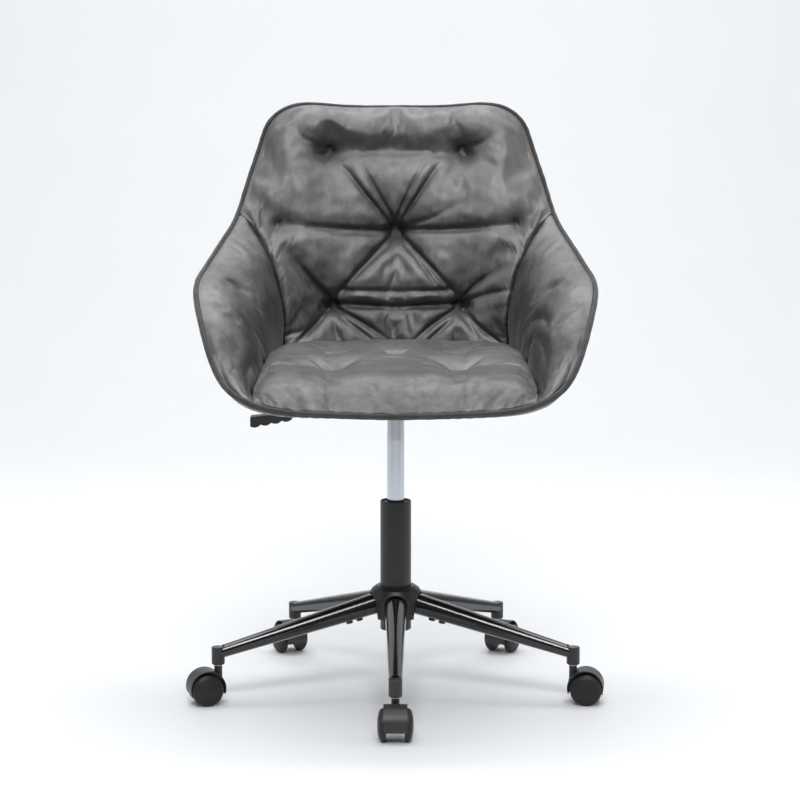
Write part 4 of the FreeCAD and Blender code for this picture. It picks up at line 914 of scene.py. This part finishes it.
def seatHeight(points, sharp):
    flat = points[:, [0, 1]]
    if sharp:
        dimples = [(x, y, 0.25 * depth, 0.30 * width) for x, y, depth, width in seatTufts]
    else:
        dimples = seatTufts
    height = dimpleHeight(flat, dimples)
    if sharp:
        # curved ridges round the rear of each dimple, and short creases that leave it sideways
        for x, y, depth, width in seatTufts:
            dx, dy = flat[:, 0] - x, flat[:, 1] - y
            away = np.hypot(dx, dy)
            bearing = np.arctan2(dx, -dy)
            for ring, size in ((0.022, 0.0022), (0.035, 0.0015)):
                squeeze = ring * (1 + 0.25 * np.cos(2 * bearing))
                height += (size * np.exp(-((away - squeeze) / 0.0035) ** 2)
                           * smooth(1.2 * np.cos(bearing) + 0.3))
            for aim in (1.25, -1.25, 2.2, -2.2):
                across, along, beyond = nearSegment(flat, (x, y),
                    (x + 0.042 * math.sin(aim), y - 0.042 * math.cos(aim)))
                height -= 0.0030 * np.exp(-(across / 0.0030) ** 2 - (beyond / 0.01) ** 2) * (1 - along)
    return height


seatCushion, seatColumns, seatRows = makeSeat()


def puffSeat(piece):
    points = coordinates(piece.data)
    total = seatColumns * seatRows
    index = np.arange(len(points))
    column, row = index // seatRows, index % seatRows
    top = (index < total).astype(float)
    near = np.minimum(np.minimum(column, seatColumns - 1 - column),
        np.minimum(row, seatRows - 1 - row)) * 0.005
    calm = smooth(near / 0.02) * top
    pushAlong(piece, seatHeight(points, False) * calm)
    held = np.where((top < 1) | (near < 0.004), 1.0, 0.0)
    for x, y, depth, width in seatTufts:
        held = np.maximum(held, (np.hypot(points[:, 0] - x, points[:, 1] - y) < 0.0035) * (points[:,
            2] > 0.52))
    puffUp(piece, held, seat["limit"], seat["pressure"], seat["looseness"])
    subdivide(piece)
    points = coordinates(piece.data)
    up = smooth((points[:, 2] - 0.500) / 0.012)
    pushAlong(piece, (seatHeight(points, True) + 0.0007 * ripples(points, 0.07, 3)) * up)


puffSeat(seatCushion)
print("seat cushion made")

# each cushion with the CAD pad it stands for, its fill, and the share, middle and low painted shade of the
# painted light on its pile
for piece, node, fill, napAndPaintedLight in (
        (backCushion, "back_pad", 0.7, (1.0, 0.42, 0.45)),
            (armLeft, "arm_pad_left", 0.7, (1.0, 0.66, 0.45)),
        (armRight, "arm_pad_right", 0.7, (1.0, 0.66, 0.45)),
            (seatCushion, "seat_pad", 0.75, (0.35, 0.42, 0.0))):
    paintLight(piece, *napAndPaintedLight)
    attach(piece, "seat")
    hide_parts(node)

cover = {"turns": 420, "rows": 68, "hem": 0.022, "thickness": 0.0025, "seamAngle": 37.0}


def makeOuterCover():
    columns = []
    turns = np.linspace(0, 2 * math.pi, cover["turns"], endpoint=False)
    for turn in turns:
        reach, top = rimAt(turn)
        corner = floorAt(turn)
        start, bend, halfTurn = bendAt(turn)
        lean = math.pi / 2 - 2 * halfTurn
        top -= 0.0030 * math.cos(lean)
        sides = []
        for depth in (0.0, cover["thickness"]):
            radius = bend - depth
            path = [(start - cover["hem"], shell["floor"] + depth)]
            for angle in np.linspace(0, 2 * halfTurn, 24):
                path.append((start + radius * math.sin(angle),
                    shell["floor"] + bend - radius * math.cos(angle)))
            if top > path[-1][1]:
                path.append((corner + (top - shell["floor"]) * math.tan(lean) - depth / math.cos(lean),
                    top))
            sides.append(evenly(np.array(path), cover["rows"]))
        section = np.vstack([sides[0], sides[1][::-1]])
        columns.append(atTurn(turn, section[:, 0], section[:, 1]))
    perColumn = len(columns[0])
    piece = meshObject("outerCover", np.concatenate(columns), loopFaces(len(columns), perColumn, True),
        velvet)
    outward(piece)
    points = coordinates(piece.data)
    turn = np.degrees(np.arctan2(points[:, 1] - shell["axisY"], points[:, 0]))
    reach = np.hypot(points[:, 0], points[:, 1] - shell["axisY"])
    outerRows = np.tile(np.arange(perColumn) < perColumn // 2, cover["turns"])
    push = np.zeros(len(points))
    for seam in (cover["seamAngle"], 180 - cover["seamAngle"]):
        away = np.abs(turn - seam) * math.pi / 180 * reach
        push += -0.0016 * np.exp(-(away / 0.0022) ** 2) + 0.0007 * np.exp(-((away - 0.006) / 0.004) ** 2)
    push += 0.0006 * ripples(points, 0.16, 21, 2)
    below = rimAt(np.radians(turn))[1] - points[:, 2]
    push *= smooth(below / 0.02)
    # gathers where the cover turns under the floor
    lowFade = smooth((shell["floor"] + 0.035 - points[:, 2]) / 0.03)
    push += (0.0009 * lowFade * np.sin(np.radians(turn) * 74)
             * (0.5 + 0.5 * np.sin(np.radians(turn) * 5 + 1)))
    pushAlong(piece, push * outerRows)
    return piece


outerCover = makeOuterCover()
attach(outerCover, "seat")
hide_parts("outer_cover")
print("outer cover made")

piping = {"radius": 0.0034, "sides": 14, "seamRadius": 0.0021, "seamOut": 0.0042, "seamDown": 0.0040}


def sweepTree(materialUsed):
    tree = bpy.data.node_groups.new("sweptCord", "GeometryNodeTree")
    tree.interface.new_socket(name="Geometry", in_out="INPUT", socket_type="NodeSocketGeometry")
    radius = tree.interface.new_socket(name="Radius", in_out="INPUT", socket_type="NodeSocketFloat")
    sides = tree.interface.new_socket(name="Sides", in_out="INPUT", socket_type="NodeSocketInt")
    tree.interface.new_socket(name="Geometry", in_out="OUTPUT", socket_type="NodeSocketGeometry")
    start, end = tree.nodes.new("NodeGroupInput"), tree.nodes.new("NodeGroupOutput")
    circle = addNode(tree, "GeometryNodeCurvePrimitiveCircle",
                     {"Resolution": start.outputs["Sides"], "Radius": start.outputs["Radius"]})
    sweep = addNode(tree, "GeometryNodeCurveToMesh", {"Curve": start.outputs["Geometry"],
                                                     "Profile Curve": circle.outputs["Curve"]})
    real = addNode(tree, "GeometryNodeRealizeInstances", {"Geometry": sweep.outputs["Mesh"]})
    painted = addNode(tree, "GeometryNodeSetMaterial", {"Geometry": real.outputs[0]})
    painted.inputs["Material"].default_value = materialUsed
    tree.links.new(painted.outputs[0], end.inputs[0])
    return tree, radius.identifier, sides.identifier


cordTree, radiusSocket, sidesSocket = sweepTree(pipingVelvet)


def alongLine(name, line, tree, values, materialUsed):
    # what a node tree makes along a closed line, as a plain mesh
    curve = bpy.data.curves.new(name + "Line", "CURVE")
    curve.dimensions = "3D"
    spline = curve.splines.new("POLY")
    spline.points.add(len(line) - 1)
    spline.points.foreach_set("co", np.hstack([line, np.ones((len(line), 1))]).ravel())
    spline.use_cyclic_u = True
    holder = bpy.data.objects.new(name + "Line", curve)
    bpy.context.scene.collection.objects.link(holder)
    modifier = holder.modifiers.new("made", "NODES")
    modifier.node_group = tree
    for socket, value in values.items():
        modifier[socket] = value
    graph = bpy.context.evaluated_depsgraph_get()
    mesh = bpy.data.meshes.new_from_object(holder.evaluated_get(graph), depsgraph=graph)
    bpy.data.objects.remove(holder)
    piece = bpy.data.objects.new(name, mesh)
    bpy.context.scene.collection.objects.link(piece)
    mesh.name = name
    if not mesh.materials:
        mesh.materials.append(materialUsed)
    return piece


def sweptCord(name, line, radius, sides, replaced=None):
    piece = alongLine(name, line, cordTree, {radiusSocket: radius, sidesSocket: sides}, pipingVelvet)
    outward(piece)
    pushAlong(piece, 0.00022 * ripples(coordinates(piece.data), 0.022, 31, 2))
    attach(piece, "seat")
    if replaced:
        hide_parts(replaced)
    return piece


pipingCord = sweptCord("pipingCord", rimLine, piping["radius"], piping["sides"], "piping")
away = np.stack([np.cos(rimTurn), np.sin(rimTurn), np.zeros(len(rimTurn))], axis=-1)
seamLine = rimLine + away * (piping["seamOut"] - 0.0022) - np.array([0, 0, piping["seamDown"]])
pipingSeam = sweptCord("pipingSeam", seamLine, piping["seamRadius"], 10)
print("piping made")

staples = {"count": 64, "length": 0.010, "wire": 0.0006, "inset": 0.006}


def stapleTree():
    tree = bpy.data.node_groups.new("staplesOnLine", "GeometryNodeTree")
    tree.interface.new_socket(name="Geometry", in_out="INPUT", socket_type="NodeSocketGeometry")
    keys = {}
    for label, kind in (("Count", "NodeSocketInt"), ("Length", "NodeSocketFloat"),
        ("Wire", "NodeSocketFloat"),
                        ("Seed", "NodeSocketInt")):
        keys[label] = tree.interface.new_socket(name=label, in_out="INPUT", socket_type=kind).identifier
    tree.interface.new_socket(name="Geometry", in_out="OUTPUT", socket_type="NodeSocketGeometry")
    start, end = tree.nodes.new("NodeGroupInput"), tree.nodes.new("NodeGroupOutput")
    spots = addNode(tree, "GeometryNodeCurveToPoints", {"Curve": start.outputs["Geometry"],
                                                       "Count": start.outputs["Count"]})
    size = addNode(tree, "ShaderNodeCombineXYZ", {"X": start.outputs["Wire"], "Y": start.outputs["Wire"],
                                                  "Z": start.outputs["Length"]})
    wire = addNode(tree, "GeometryNodeMeshCube", {"Size": size.outputs[0]}, in_Vertices_X=3,
        in_Vertices_Y=3,
                   in_Vertices_Z=5)
    turned = addNode(tree, "FunctionNodeRandomValue", {"Seed": start.outputs["Seed"]},
        data_type="FLOAT_VECTOR",
                     in_Min=(-0.2, -0.2, -0.2), in_Max=(0.2, 0.2, 0.2))
    placed = addNode(tree, "GeometryNodeInstanceOnPoints", {"Points": spots.outputs["Points"],
                                                           "Instance": wire.outputs["Mesh"],
                                                           "Rotation": spots.outputs["Rotation"]})
    swung = addNode(tree, "GeometryNodeRotateInstances", {"Instances": placed.outputs[0],
                                                         "Rotation": turned.outputs[0]})
    real = addNode(tree, "GeometryNodeRealizeInstances", {"Geometry": swung.outputs[0]})
    painted = addNode(tree, "GeometryNodeSetMaterial", {"Geometry": real.outputs[0]})
    painted.inputs["Material"].default_value = plated
    tree.links.new(painted.outputs[0], end.inputs[0])
    return tree, keys


def makeStaples():
    low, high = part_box("dust_cover")
    middle, half = (low + high) / 2, (high - low) / 2
    corner = 0.10
    line = []
    for k in range(160):
        angle = 2 * math.pi * k / 160
        direction = (math.cos(angle), math.sin(angle))
        line.append((middle.x + direction[0] * corner + math.copysign(half.x - corner - staples["inset"],
            direction[0]),
                     middle.y + direction[1] * corner + math.copysign(half.y - corner - staples["inset"],
                         direction[1]),
                     low.z - staples["wire"] * 0.4))
    tree, keys = stapleTree()
    values = {"Count": staples["count"], "Length": staples["length"], "Wire": staples["wire"], "Seed": 7}
    piece = alongLine("dustCoverStaples", np.array(line), tree,
                      {keys[label]: value for label, value in values.items()}, plated)
    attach(piece, "seat")
    return piece


makeStaples()
print("staples made")

studio = {
    "cameraAt": (0.0069, -3.845, 0.985), "pitch": 7.56, "lens": 108.6,
    "topPower": 84.0, "sidePower": 19.0, "fillPower": 118.0, "wallPower": 90.0, "world": 0.15,
}


def softbox(name, place, target, size, power):
    light = bpy.data.lights.new(name, "AREA")
    light.shape = "RECTANGLE"
    light.size, light.size_y = size
    light.energy = power
    lamp = bpy.data.objects.new(name, light)
    lamp.location = place
    direction = np.array(target) - np.array(place)
    lamp.rotation_euler = Vector(direction).to_track_quat("-Z", "Y").to_euler()
    bpy.context.scene.collection.objects.link(lamp)
    return lamp


def makeStudio():
    # floor and back wall in one sweep
    rows = [(-7.0, 0.0), (0.0, 0.0), (2.4, 0.0)]
    for angle in np.linspace(0, 90, 13)[1:]:
        rows.append((2.4 + 1.8 * math.sin(math.radians(angle)), 1.8 - 1.8 * math.cos(math.radians(angle))))
    rows.append((4.2, 6.0))
    points = [(x, y, z) for y, z in rows for x in (-9.0, 9.0)]
    faces = [(2 * i, 2 * i + 1, 2 * i + 3, 2 * i + 2) for i in range(len(rows) - 1)]
    sweep = meshObject("studioSweep", points, faces)
    paper = bpy.data.materials.new("studioPaper")
    paper.use_nodes = True
    tree = paper.node_tree
    principled = tree.nodes["Principled BSDF"]
    where = addNode(tree, "ShaderNodeTexCoord").outputs["Object"]
    noise = addNode(tree, "ShaderNodeTexNoise", {"Vector": where}, in_Scale=3.0, in_Detail=2.0)
    tree.links.new(mixColor(tree, noise.outputs["Fac"], (0.80, 0.815, 0.83, 1), (0.82, 0.835, 0.85, 1)),
                   principled.inputs["Base Color"])
    principled.inputs["Roughness"].default_value = 0.6
    principled.inputs["Specular IOR Level"].default_value = 0.2
    sweep.data.materials.append(paper)
    softbox("topLight", (0, 0.3, 3.4), (0, 0, 0.4), (3.2, 3.2), studio["topPower"])
    softbox("leftLight", (-3.2, -0.2, 1.5), (0, 0, 0.6), (2.2, 2.6), studio["sidePower"])
    softbox("rightLight", (3.2, -0.2, 1.5), (0, 0, 0.6), (2.2, 2.6), studio["sidePower"])
    softbox("frontFill", (0.0, -3.4, 3.5), (0, 0, 0.7), (2.2, 1.4), studio["fillPower"])
    softbox("wallLight", (0, 1.2, 4.2), (0, 4.2, 1.2), (6.0, 1.0), studio["wallPower"])
    world = bpy.data.worlds.new("studioWorld")
    bpy.context.scene.world = world
    world.use_nodes = True
    world.node_tree.nodes["Background"].inputs["Color"].default_value = (0.95, 0.97, 1.0, 1)
    world.node_tree.nodes["Background"].inputs["Strength"].default_value = studio["world"]
    camera = bpy.data.cameras.new("camera")
    camera.lens = studio["lens"]
    camera.sensor_width = 36
    holder = bpy.data.objects.new("camera", camera)
    holder.location = studio["cameraAt"]
    holder.rotation_euler = (math.radians(90 - studio["pitch"]), 0, 0)
    bpy.context.scene.collection.objects.link(holder)
    bpy.context.scene.camera = holder
    bpy.context.scene.view_settings.view_transform = "Standard"


makeStudio()
print("studio made")
